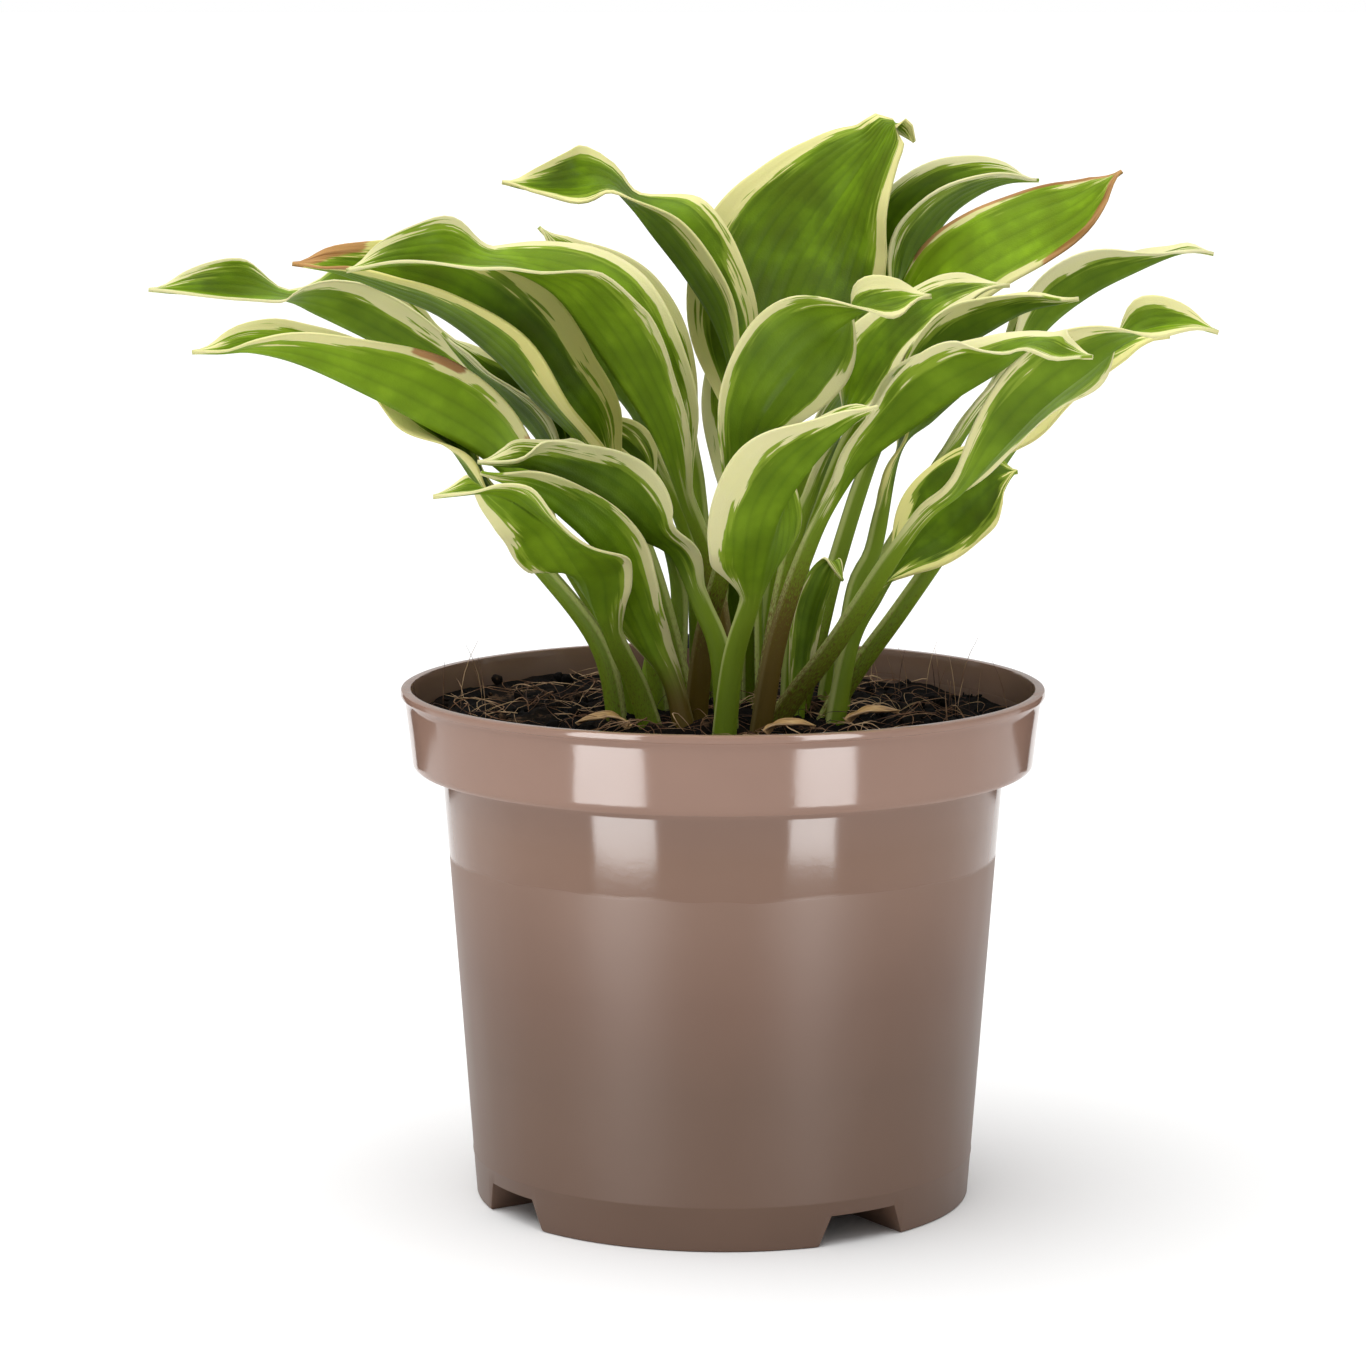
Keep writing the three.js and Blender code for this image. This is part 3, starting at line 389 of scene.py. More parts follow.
# Dried sheath scales that lie on the soil by the stalks
SCALE = {"blade": 0.02, "stalk": 0.3, "belly": 0.8, "curl": -30, "wave": (0, 1, 0)}
SCALES = {
    "scale_left": {
        "faces": 0, "half": 4,
        "route": ((-27, -27, 144, -10, -10), (-32, -24, 148, -10, -10),
            (-38, -22, 147, -10, -10), (-43, -20, 144, -10, -10)),
    },
    "scale_middle": {
        "faces": 180, "half": 3.6,
        "route": ((12, -34, 143.5, -10, -10), (16, -33, 147, -10, -10),
            (22, -31, 147, -10, -10), (27, -28, 144.5, -10, -10)),
    },
    "scale_right": {
        "faces": 180, "half": 3.6,
        "route": ((36, -13, 143.5, -10, -10), (41, -12, 147.5, -10, -10),
            (46, -9, 147.5, -10, -10), (52, -5, 145.5, -10, -10)),
    },
}
SCALE_DRESS = {"edge": (0.2, 0.2), "yellow": 0, "light": 0, "purple": 0}


def linear(code):
    """An sRGB hex colour as linear red, green, blue and alpha."""
    parts = [int(code[i:i + 2], 16) / 255 for i in (1, 3, 5)]
    return [c / 12.92 if c <= 0.04045 else ((c + 0.055) / 1.055) ** 2.4 for c in parts] + [1.0]


class PotSettings(bpy.types.PropertyGroup):
    height: bpy.props.FloatProperty(
        name="Height", description="From the ground to the top of the rim", default=0.152,
        min=0.05, unit="LENGTH")
    wall: bpy.props.FloatProperty(
        name="Wall", description="Thickness of the plastic", default=0.0018, min=0.0005,
        unit="LENGTH")
    sides: bpy.props.IntProperty(
        name="Sides", description="Steps round the pot", default=192, min=24, max=512)
    colour: bpy.props.FloatVectorProperty(
        name="Colour", description="The plastic's colour", subtype="COLOR", size=4,
        min=0, max=1, default=linear("#98796A"))


class SoilSettings(bpy.types.PropertyGroup):
    rings: bpy.props.IntProperty(
        name="Rings", description="Steps from the middle to the wall", default=84, min=8)
    turns: bpy.props.IntProperty(
        name="Turns", description="Steps round the soil", default=264, min=24)
    crumbs: bpy.props.IntProperty(
        name="Crumbs", description="Loose crumbs of peat", default=900, min=0)
    fibres: bpy.props.IntProperty(
        name="Fibres", description="Loose coir fibres", default=330, min=0)
    dark: bpy.props.FloatVectorProperty(
        name="Dark", description="Colour of moist peat", subtype="COLOR", size=4,
        min=0, max=1, default=linear("#070504"))
    brown: bpy.props.FloatVectorProperty(
        name="Brown", description="Colour of drier peat", subtype="COLOR", size=4,
        min=0, max=1, default=linear("#1A120C"))


class LeafSettings(bpy.types.PropertyGroup):
    rows: bpy.props.IntProperty(
        name="Rows", description="Steps along a blade", default=58, min=8)
    stalk_rows: bpy.props.IntProperty(
        name="Stalk rows", description="Steps along a stalk", default=22, min=4)
    vein_spacing: bpy.props.FloatProperty(
        name="Vein spacing", description="Between two veins at the widest place",
        default=0.0046, min=0.001, unit="LENGTH")
    vein_depth: bpy.props.FloatProperty(
        name="Vein depth", description="How deep the veins lie", default=0.00016, min=0,
        unit="LENGTH")
    cream: bpy.props.FloatVectorProperty(
        name="Cream", description="Edge of a leaf", subtype="COLOR", size=4,
        min=0, max=1, default=linear("#DDD8AC"))


class StudioSettings(bpy.types.PropertyGroup):
    daylight: bpy.props.FloatProperty(
        name="Daylight", description="Even light from all round", default=0.55, min=0)
    key: bpy.props.FloatProperty(
        name="Key", description="Soft light from the upper left", default=3.0, min=0)
    strips: bpy.props.FloatProperty(
        name="Strips", description="The two tall lamps that the pot mirrors", default=2.6, min=0)
    lens: bpy.props.FloatProperty(
        name="Lens", description="Focal length", default=118.89, min=20, unit="CAMERA")


# Materials


def add(tree, kind, settings=None, links=None):
    """Adds a node, sets its own settings, and gives its sockets a value or another node's output."""
    node = tree.nodes.new(kind)
    for name, value in (settings or {}).items():
        if name == "stops":
            ramp = node.color_ramp.elements
            while len(ramp) < len(value):
                ramp.new(0.5)
            for stop, (place, colour) in zip(ramp, value):
                stop.position = place
                stop.color = colour
        else:
            setattr(node, name, value)
    for name, value in (links or {}).items():
        if isinstance(name, int):
            socket = node.inputs[name]
        else:
            socket = next(s for s in node.inputs if s.name == name and s.enabled)
        if isinstance(value, bpy.types.Node):
            value = next(s for s in value.outputs if s.enabled)
        if isinstance(value, bpy.types.NodeSocket):
            tree.links.new(value, socket)
        else:
            socket.default_value = value
    return node


def new_material(name):
    """A fresh material's node tree and its shader."""
    material = bpy.data.materials.new(name)
    material.use_nodes = True
    tree = material.node_tree
    return material, tree, tree.nodes["Principled BSDF"]


def paint(tree, shader, links):
    """Gives the shader's sockets their values and outputs."""
    for name, value in links.items():
        if isinstance(value, bpy.types.Node):
            value = next(s for s in value.outputs if s.enabled)
        if isinstance(value, bpy.types.NodeSocket):
            tree.links.new(value, shader.inputs[name])
        else:
            shader.inputs[name].default_value = value


def hosta_leaf(cream):
    """Living hosta leaf: a satin cuticle over moist tissue that lets some light through. Its edge
    has no green in it and is cream, and the two meet in ragged streaks that follow the veins."""
    material, tree, shader = new_material("hosta_leaf")
    blade = add(tree, "ShaderNodeUVMap", {"uv_map": "blade"})
    border = add(tree, "ShaderNodeAttribute", {"attribute_name": "border"}).outputs["Fac"]
    petiole = add(tree, "ShaderNodeAttribute", {"attribute_name": "petiole"}).outputs["Fac"]
    foot = add(tree, "ShaderNodeAttribute", {"attribute_name": "foot"}).outputs["Fac"]
    dry = add(tree, "ShaderNodeAttribute", {"attribute_name": "dry"}).outputs["Fac"]
    under = add(tree, "ShaderNodeAttribute", {"attribute_name": "underside"}).outputs["Fac"]
    light = add(tree, "ShaderNodeAttribute", {"attribute_name": "light"}).outputs["Fac"]
    yellow = add(tree, "ShaderNodeAttribute", {"attribute_name": "yellow"}).outputs["Fac"]
    vein = add(tree, "ShaderNodeAttribute", {"attribute_name": "vein"}).outputs["Fac"]

    # Streaks about 1 mm wide and 20 mm long, and wide tongues 4 mm by 30 mm
    fine = add(tree, "ShaderNodeMapping", None, {"Vector": blade, "Scale": (8.0, 0.5, 1.0)})
    broad = add(tree, "ShaderNodeMapping", None, {"Vector": blade, "Scale": (2.2, 0.45, 1.0)})
    streak = add(tree, "ShaderNodeTexNoise", None, {"Vector": fine, "Scale": 1.0, "Detail": 3.0})
    tongue = add(tree, "ShaderNodeTexNoise", None, {"Vector": broad, "Scale": 1.0, "Detail": 2.0})
    ragged = add(tree, "ShaderNodeMath", {"operation": "MULTIPLY_ADD"}, {
        0: streak.outputs["Fac"], 1: 8.0, 2: border})
    ragged = add(tree, "ShaderNodeMath", {"operation": "MULTIPLY_ADD"}, {
        0: tongue.outputs["Fac"], 1: 10.0, 2: ragged})
    cream_mask = add(tree, "ShaderNodeMapRange", {"interpolation_type": "SMOOTHSTEP"}, {
        "Value": ragged, "From Min": 8.7, "From Max": 9.2})
    half_mask = add(tree, "ShaderNodeMapRange", {"interpolation_type": "SMOOTHSTEP"}, {
        "Value": ragged, "From Min": 6.6, "From Max": 8.2, "To Max": 0.5})

    # Green: deeper above, lighter and yellower below, in soft patches about 15 mm across
    patch = add(tree, "ShaderNodeTexNoise", None, {"Vector": blade, "Scale": 0.7, "Detail": 3.0})
    upper = add(tree, "ShaderNodeValToRGB", {"stops": (
        (0.34, linear("#1C3602")), (0.5, linear("#476B08")), (0.66, linear("#7FA816")))}, {
            "Fac": patch.outputs["Fac"]})
    lower = add(tree, "ShaderNodeValToRGB", {"stops": (
        (0.32, linear("#385C0A")), (0.5, linear("#5C8214")), (0.68, linear("#86AA26")))}, {
            "Fac": patch.outputs["Fac"]})
    green = add(tree, "ShaderNodeMix", {"data_type": "RGBA"}, {0: under, 6: upper, 7: lower})
    # The leaf's lightness moves its green towards the shaded colour and towards the bright one: partly
    # the leaf's own tone, partly painted shade on leaves deep in the clump and painted light on open
    # ones
    lift = add(tree, "ShaderNodeMapRange", None, {
        "Value": light, "From Min": -1.0, "From Max": 1.0, "To Min": 0.0, "To Max": 1.0})
    shaded = add(tree, "ShaderNodeMix", {"data_type": "RGBA", "blend_type": "MULTIPLY"}, {
        0: 1.0, 6: green, 7: linear("#727F66")})
    bright = add(tree, "ShaderNodeMix", {"data_type": "RGBA"}, {
        0: 0.5, 6: green, 7: linear("#9EC024")})
    green = add(tree, "ShaderNodeMix", {"data_type": "RGBA"}, {0: lift, 6: shaded, 7: bright})
    # Painted shade in the sunken veins: the green darkens along each vein
    vein_shade = add(tree, "ShaderNodeMath", {"operation": "MULTIPLY"}, {0: vein, 1: 0.22})
    green = add(tree, "ShaderNodeMix", {"data_type": "RGBA"}, {
        0: vein_shade, 6: green, 7: linear("#2A4608")})
    lime = add(tree, "ShaderNodeMix", {"data_type": "RGBA"}, {
        0: half_mask, 6: green, 7: linear("#9EB43C")})

    pale = add(tree, "ShaderNodeMix", {"data_type": "RGBA"}, {
        0: yellow, 6: cream, 7: linear("#E6DC78")})
    tint = add(tree, "ShaderNodeMapRange", None, {
        "Value": tongue.outputs["Fac"], "From Min": 0.35, "From Max": 0.75, "To Max": 0.3})
    pale = add(tree, "ShaderNodeMix", {"data_type": "RGBA"}, {
        0: tint, 6: pale, 7: linear("#DADA84")})
    blade_colour = add(tree, "ShaderNodeMix", {"data_type": "RGBA"}, {0: cream_mask, 6: lime, 7: pale})

    # Stalk: light green with pale edges, and purple speckles under 1 mm that close up at the foot
    stalk = add(tree, "ShaderNodeMix", {"data_type": "RGBA"}, {
        0: under, 6: linear("#58700F"), 7: linear("#748C20")})
    rim = add(tree, "ShaderNodeMapRange", None, {
        "Value": border, "From Min": -0.4, "From Max": 0.1, "To Max": 0.6})
    stalk = add(tree, "ShaderNodeMix", {"data_type": "RGBA"}, {
        0: rim, 6: stalk, 7: linear("#C8CE84")})
    speckles = add(tree, "ShaderNodeMapping", None, {"Vector": blade, "Scale": (16.0, 7.0, 1.0)})
    speckle = add(tree, "ShaderNodeTexNoise", None, {
        "Vector": speckles, "Scale": 1.0, "Detail": 2.0, "Roughness": 0.7})
    stain = add(tree, "ShaderNodeMath", {"operation": "MULTIPLY_ADD"}, {
        0: foot, 1: 0.85, 2: speckle.outputs["Fac"]})
    stain = add(tree, "ShaderNodeMapRange", {"interpolation_type": "SMOOTHSTEP"}, {
        "Value": stain, "From Min": 0.78, "From Max": 1.12, "To Max": 0.74})
    stalk = add(tree, "ShaderNodeMix", {"data_type": "RGBA"}, {
        0: stain, 6: stalk, 7: linear("#5E2A1E")})
    colour = add(tree, "ShaderNodeMix", {"data_type": "RGBA"}, {0: petiole, 6: blade_colour, 7: stalk})

    scorch = add(tree, "ShaderNodeMath", {"operation": "MULTIPLY_ADD"}, {
        0: streak.outputs["Fac"], 1: 0.9, 2: dry})
    scorch = add(tree, "ShaderNodeMapRange", {"interpolation_type": "SMOOTHSTEP"}, {
        "Value": scorch, "From Min": 0.85, "From Max": 1.2, "To Max": 0.9})
    burnt = add(tree, "ShaderNodeValToRGB", {"stops": (
        (0.35, linear("#8A5530")), (0.65, linear("#C08A58")))}, {"Fac": tongue.outputs["Fac"]})
    colour = add(tree, "ShaderNodeMix", {"data_type": "RGBA"}, {0: scorch, 6: colour, 7: burnt})

    # The cuticle's fine grain, about 0.5 mm, and ribs 1.3 mm apart that run with the veins
    grain = add(tree, "ShaderNodeTexNoise", None, {"Vector": blade, "Scale": 18.0, "Detail": 2.0})
    ribbed = add(tree, "ShaderNodeMath", {"operation": "MULTIPLY_ADD"}, {
        0: streak.outputs["Fac"], 1: 0.8, 2: grain.outputs["Fac"]})
    bump = add(tree, "ShaderNodeBump", None, {
        "Strength": 0.18, "Distance": 0.0006, "Height": ribbed})
    rough = add(tree, "ShaderNodeMapRange", None, {
        "Value": under, "To Min": 0.36, "To Max": 0.46})
    rough = add(tree, "ShaderNodeMath", {"operation": "MULTIPLY_ADD"}, {
        0: grain.outputs["Fac"], 1: 0.1, 2: rough})
    paint(tree, shader, {
        "Base Color": colour, "Roughness": rough, "Normal": bump, "IOR": 1.42,
        "Specular IOR Level": 0.08,
        "Subsurface Weight": 0.12, "Subsurface Radius": (0.9, 1.4, 0.35),
        "Subsurface Scale": 0.001})
    return material


def dry_sheath():
    """Dead leaf sheath: papery, tan, with long fibres."""
    material, tree, shader = new_material("dry_sheath")
    blade = add(tree, "ShaderNodeUVMap", {"uv_map": "blade"})
    along = add(tree, "ShaderNodeMapping", None, {"Vector": blade, "Scale": (14.0, 1.6, 1.0)})
    fibre = add(tree, "ShaderNodeTexNoise", None, {"Vector": along, "Scale": 1.0, "Detail": 4.0})
    colour = add(tree, "ShaderNodeValToRGB", {"stops": (
        (0.3, linear("#7A5531")), (0.5, linear("#B98F58")), (0.75, linear("#DDBE86")))}, {
            "Fac": fibre.outputs["Fac"]})
    bump = add(tree, "ShaderNodeBump", None, {
        "Strength": 0.4, "Distance": 0.0004, "Height": fibre.outputs["Fac"]})
    paint(tree, shader, {"Base Color": colour, "Normal": bump, "Roughness": 0.55})
    return material


def moulded_polypropylene(colour, pot_height):
    """Injection-moulded polypropylene: polished and faintly wavy round the band and below it, then
    satin down to the foot. Inside, wet peat clings to the wall, painted nearly black so that it
    also paints the shade inside the pot."""
    material, tree, shader = new_material("moulded_polypropylene")
    place = add(tree, "ShaderNodeTexCoord").outputs["Object"]
    height = add(tree, "ShaderNodeSeparateXYZ", None, {0: place}).outputs["Z"]
    rise = add(tree, "ShaderNodeMapRange", None, {"Value": height, "From Max": pot_height})
    inside = add(tree, "ShaderNodeAttribute", {"attribute_name": "inside"}).outputs["Fac"]
    # Waves 25 mm across and 60 mm high; grain of the skin 2 mm; clouds 45 mm
    stretched = add(tree, "ShaderNodeMapping", None, {"Vector": place, "Scale": (40.0, 40.0, 16.0)})
    wave = add(tree, "ShaderNodeTexNoise", None, {"Vector": stretched, "Scale": 1.0, "Detail": 1.0})
    grain = add(tree, "ShaderNodeTexNoise", None, {
        "Vector": place, "Scale": 500.0, "Detail": 3.0, "Roughness": 0.6})
    cloud = add(tree, "ShaderNodeTexNoise", None, {"Vector": place, "Scale": 22.0, "Detail": 3.0})
    shade = add(tree, "ShaderNodeMapRange", None, {
        "Value": cloud.outputs["Fac"], "From Min": 0.3, "From Max": 0.7, "To Min": 0.96,
        "To Max": 1.03})
    # Painted light and shade by height: the colour is darkest at the foot, lighter up the body and
    # palest on the band, where the light from above falls most
    depth = add(tree, "ShaderNodeValToRGB", {"stops": (
        (0.0, linear("#B4AEA3")), (0.3, linear("#B4AEA3")), (0.47, linear("#C2B9AF")),
        (0.61, linear("#D7D1C9")), (0.75, linear("#E8E4DC")), (0.87, linear("#FFFFFF")))}, {
            "Fac": rise})
    tinted = add(tree, "ShaderNodeVectorMath", {"operation": "SCALE"}, {
        0: colour[:3], "Scale": shade})
    tinted = add(tree, "ShaderNodeVectorMath", {"operation": "MULTIPLY"}, {0: tinted, 1: depth})
    # Inside the pot the wall is painted nearly black: partly wet peat on it, partly painted shade
    peat_film_and_shade = add(tree, "ShaderNodeMapRange", None, {
        "Value": cloud.outputs["Fac"], "From Min": 0.3, "From Max": 0.7, "To Min": 0.97,
        "To Max": 1.0})
    peat_film_and_shade = add(tree, "ShaderNodeMath", {"operation": "MULTIPLY"}, {0: peat_film_and_shade, 1: inside})
    skin = add(tree, "ShaderNodeMix", {"data_type": "RGBA"}, {
        0: peat_film_and_shade, 6: tinted.outputs[0], 7: linear("#0A0705")})
    # The polish ends two thirds of the way up, along a line that wanders by 1 mm
    edge = add(tree, "ShaderNodeMath", {"operation": "MULTIPLY_ADD"}, {
        0: wave.outputs["Fac"], 1: 0.003, 2: height})
    polish = add(tree, "ShaderNodeMapRange", {"interpolation_type": "SMOOTHSTEP"}, {
        "Value": edge, "From Min": POLISH_FOOT * MM, "From Max": (POLISH_FOOT + POLISH_FADE) * MM})
    rough = add(tree, "ShaderNodeMapRange", None, {"Value": polish, "To Min": 0.4, "To Max": 0.1})
    rough = add(tree, "ShaderNodeMath", {"operation": "MULTIPLY_ADD"}, {0: peat_film_and_shade, 1: 0.5, 2: rough})
    waves = add(tree, "ShaderNodeBump", None, {
        "Strength": 0.3, "Distance": 0.002, "Height": wave.outputs["Fac"]})
    bump = add(tree, "ShaderNodeBump", None, {
        "Strength": 0.05, "Distance": 0.0002, "Height": grain.outputs["Fac"], "Normal": waves})
    paint(tree, shader, {
        "Base Color": skin, "Roughness": rough, "Normal": bump, "IOR": 1.5,
        "Specular IOR Level": 0.35})
    return material


def moist_peat(dark, brown):
    """Moist peat with coir: nearly black, crumbly, browner in patches where it has dried."""
    material, tree, shader = new_material("moist_peat")
    place = add(tree, "ShaderNodeTexCoord")
    crumb = add(tree, "ShaderNodeTexNoise", None, {
        "Vector": place.outputs["Object"], "Scale": 420.0, "Detail": 6.0, "Roughness": 0.7})
    clod = add(tree, "ShaderNodeTexNoise", None, {
        "Vector": place.outputs["Object"], "Scale": 70.0, "Detail": 4.0})
    mixed = add(tree, "ShaderNodeMath", {"operation": "MULTIPLY_ADD"}, {
        0: crumb.outputs["Fac"], 1: 0.6, 2: clod.outputs["Fac"]})
    colour = add(tree, "ShaderNodeValToRGB", {"stops": (
        (0.76, dark), (0.94, brown), (1.0, linear("#4E3B2C")))}, {"Fac": mixed})
    bump = add(tree, "ShaderNodeBump", None, {
        "Strength": 0.9, "Distance": 0.0012, "Height": crumb.outputs["Fac"]})
    rough = add(tree, "ShaderNodeMapRange", None, {
        "Value": clod.outputs["Fac"], "To Min": 0.6, "To Max": 1.0})
    paint(tree, shader, {
        "Base Color": colour, "Roughness": rough, "Normal": bump, "Specular IOR Level": 0.05})
    return material


def coir_fibre():
    """Coconut fibre: wiry, from pale straw to dark red-brown along and between the strands."""
    material, tree, shader = new_material("coir_fibre")
    place = add(tree, "ShaderNodeTexCoord")
    strand = add(tree, "ShaderNodeTexNoise", None, {
        "Vector": place.outputs["Object"], "Scale": 60.0, "Detail": 2.0})
    colour = add(tree, "ShaderNodeValToRGB", {"stops": (
        (0.36, linear("#38241A")), (0.5, linear("#7E5A40")), (0.66, linear("#D2B08A")))}, {
            "Fac": strand.outputs["Fac"]})
    paint(tree, shader, {"Base Color": colour, "Roughness": 0.6, "Specular IOR Level": 0.15})
    return material


def charred_bark():
    """Composted bark: black, split along its grain."""
    material, tree, shader = new_material("charred_bark")
    place = add(tree, "ShaderNodeTexCoord")
    grain = add(tree, "ShaderNodeTexNoise", None, {
        "Vector": place.outputs["Object"], "Scale": 500.0, "Detail": 5.0})
    colour = add(tree, "ShaderNodeValToRGB", {"stops": (
        (0.35, linear("#0C0908")), (0.7, linear("#33261D")))}, {"Fac": grain.outputs["Fac"]})
    bump = add(tree, "ShaderNodeBump", None, {
        "Strength": 0.8, "Distance": 0.001, "Height": grain.outputs["Fac"]})
    paint(tree, shader, {"Base Color": colour, "Roughness": 0.8, "Normal": bump})
    return material


def white_paper():
    """Studio paper: matt white with a faint tooth."""
    material, tree, shader = new_material("white_paper")
    place = add(tree, "ShaderNodeTexCoord")
    tooth = add(tree, "ShaderNodeTexNoise", None, {
        "Vector": place.outputs["Object"], "Scale": 900.0, "Detail": 2.0})
    bump = add(tree, "ShaderNodeBump", None, {
        "Strength": 0.05, "Distance": 0.0002, "Height": tooth.outputs["Fac"]})
    paint(tree, shader, {
        "Base Color": linear("#ECECEC"), "Roughness": 0.9, "Normal": bump,
        "Specular IOR Level": 0.1})
    return material


def black_felt():
    """Studio felt: it gives back almost no light."""
    material, tree, shader = new_material("black_felt")
    place = add(tree, "ShaderNodeTexCoord")
    nap = add(tree, "ShaderNodeTexNoise", None, {
        "Vector": place.outputs["Object"], "Scale": 800.0, "Detail": 2.0})
    colour = add(tree, "ShaderNodeValToRGB", {"stops": (
        (0.4, linear("#060606")), (0.6, linear("#101010")))}, {"Fac": nap.outputs["Fac"]})
    paint(tree, shader, {"Base Color": colour, "Roughness": 1.0, "Specular IOR Level": 0.0})
    return material


# Pieces


def share_between(value, low, high):
    """0 below low, 1 above high, and a smooth rise between."""
    t = min(max((value - low) / (high - low), 0.0), 1.0)
    return t * t * (3 - 2 * t)


def mix(a, b, t):
    """The value a share t of the way from a to b."""
    return a + (b - a) * t


def mesh_object(bm, name):
    """A smooth-shaded object from a bmesh in millimetres."""
    bmesh.ops.scale(bm, vec=(MM, MM, MM), verts=bm.verts[:])
    for face in bm.faces:
        face.smooth = True
    mesh = bpy.data.meshes.new(name)
    bm.to_mesh(mesh)
    bm.free()
    piece = bpy.data.objects.new(name, mesh)
    bpy.context.scene.collection.objects.link(piece)
    return piece


def settle(piece, slot, material, *nodes):
    """Gives a finished piece its material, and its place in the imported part."""
    piece.data.materials.clear()
    piece.data.materials.append(material)
    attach(piece, "root")
    if nodes:
        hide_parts(*nodes)


def baked(piece):
    """The piece with its modifiers made part of its mesh."""
    shape = bpy.data.meshes.new_from_object(
        piece.evaluated_get(bpy.context.evaluated_depsgraph_get()))
    name = piece.name
    old = piece.data
    made = bpy.data.objects.new(name + "_made", shape)
    bpy.context.scene.collection.objects.link(made)
    bpy.data.objects.remove(piece)
    if isinstance(old, bpy.types.Mesh):
        bpy.data.meshes.remove(old)
    made.name = name
    return made


def spun(profile, sides):
    """A closed turned shape from a profile that starts and ends on the axis."""
    bm = bmesh.new()
    points = [bm.verts.new((radius, 0, z)) for radius, z in profile]
    edges = [bm.edges.new(pair) for pair in zip(points, points[1:])]
    bmesh.ops.spin(
        bm, geom=points + edges, axis=(0, 0, 1), cent=(0, 0, 0), angle=math.tau, steps=sides,
        use_merge=True)
    bmesh.ops.remove_doubles(bm, verts=bm.verts[:], dist=1e-4)
    bmesh.ops.recalc_face_normals(bm, faces=bm.faces[:])
    return bm


# The pot


def body_radius(z, band_foot):
    """The outer radius at a height under the band."""
    return mix(BODY_FOOT_RADIUS, BODY_TOP_RADIUS, z / band_foot)


def pot_outside(height):
    """The pot's outer profile: foot, mould line, body, ledge, band and rim bead."""
    band_foot = height - BAND_DEPTH
    profile = [(0, 0), (BODY_FOOT_RADIUS - EDGE, 0), (BODY_FOOT_RADIUS - 0.2, 0.2),
               (BODY_FOOT_RADIUS, EDGE)]
    steps = [(MOULD_LINE, 0), (MOULD_LINE + 0.3, MOULD_STEP), (MOULD_LINE + 0.9, MOULD_STEP),
             (MOULD_LINE + 2.2, 0)]
    for z, step in steps + [(ring, 0) for ring in BODY_RINGS]:
        profile.append((body_radius(z, band_foot) + step, z))
    profile += [
        (BODY_TOP_RADIUS - 0.1, band_foot - 2), (BODY_TOP_RADIUS, band_foot - EDGE),
        (BODY_TOP_RADIUS + 0.5, band_foot + 0.2), (BODY_TOP_RADIUS + LEDGE_ROUND, band_foot + EDGE),
        (BAND_FOOT_RADIUS - LEDGE_ROUND, band_foot + EDGE),
        (BAND_FOOT_RADIUS - 0.8, band_foot + EDGE + 0.2),
        (BAND_FOOT_RADIUS - 0.15, band_foot + EDGE + 0.9),
        (BAND_FOOT_RADIUS, band_foot + EDGE + LEDGE_ROUND),
        (mix(BAND_FOOT_RADIUS, BAND_RADIUS, 0.06), band_foot + EDGE + LEDGE_ROUND + 1.2),
        (mix(BAND_FOOT_RADIUS, BAND_RADIUS, 0.5), height - BAND_DEPTH / 2),
        (mix(BAND_FOOT_RADIUS, BAND_RADIUS, 0.94), height - BEAD - EDGE - 1.5),
        (BAND_RADIUS, height - BEAD - EDGE - 0.3), (BAND_RADIUS + 0.3, height - BEAD - 0.2),
        (RIM_RADIUS - 0.2, height - BEAD + 0.1), (RIM_RADIUS, height - BEAD + 0.5),
        (RIM_RADIUS, height - EDGE), (RIM_RADIUS - 0.25, height - 0.2), (RIM_RADIUS - EDGE, height),
        (0, height)]
    return profile


def pot_inside(height, wall):
    """The profile of the room inside the pot."""
    band_foot = height - BAND_DEPTH
    return [
        (0, FLOOR), (body_radius(FLOOR, band_foot) - wall - 1, FLOOR),
        (body_radius(FLOOR, band_foot) - wall, FLOOR + 1), (BODY_TOP_RADIUS - wall, band_foot + wall),
        (BAND_FOOT_RADIUS - wall, band_foot + 2 * wall), (BAND_RADIUS - wall, height - BEAD),
        (BAND_RADIUS - wall, height - 0.5), (BAND_RADIUS - wall + 0.5, height + 1), (0, height + 1)]


def notch(turn, grow):
    """One notch of the foot as a cutter; grow thickens it into the wall round it."""
    bm = bmesh.new()
    foot, top = NOTCH_FOOT_WIDTH / 2 + grow, NOTCH_TOP_WIDTH / 2 + grow
    start = NOTCH_INNER_RADIUS - grow
    outline = ((-foot, -1), (foot, -1), (top, NOTCH_HEIGHT + grow), (-top, NOTCH_HEIGHT + grow))
    face = bm.faces.new([bm.verts.new((start, y, z)) for y, z in outline])
    end = bmesh.ops.extrude_face_region(bm, geom=[face])["geom"]
    far = [v for v in end if isinstance(v, bmesh.types.BMVert)]
    bmesh.ops.translate(bm, vec=(BODY_TOP_RADIUS + 10 - start, 0, 0), verts=far)
    bmesh.ops.rotate(bm, cent=(0, 0, 0), matrix=Matrix.Rotation(turn, 3, "Z"), verts=bm.verts[:])
    bmesh.ops.recalc_face_normals(bm, faces=bm.faces[:])
    return bm


def drain(turn):
    """One drain hole, in the ceiling of a notch, as a cutter."""
    bm = bmesh.new()
    bmesh.ops.create_cone(
        bm, cap_ends=True, segments=32, radius1=DRAIN_RADIUS, radius2=DRAIN_RADIUS, depth=4 * FLOOR)
    place = Matrix.Rotation(turn, 4, "Z") @ Matrix.Translation((DRAIN_DISTANCE, 0, NOTCH_HEIGHT))
    bmesh.ops.transform(bm, matrix=place, verts=bm.verts[:])
    return bm


def carve(piece, cutters):
    """Cuts the cutters' shapes out of the piece."""
    for cutter in cutters:
        cut = piece.modifiers.new("cut", "BOOLEAN")
        cut.operation = "DIFFERENCE"
        cut.solver = "EXACT"
        cut.object = cutter
    made = baked(piece)
    for cutter in cutters:
        bpy.data.objects.remove(cutter)
    return made


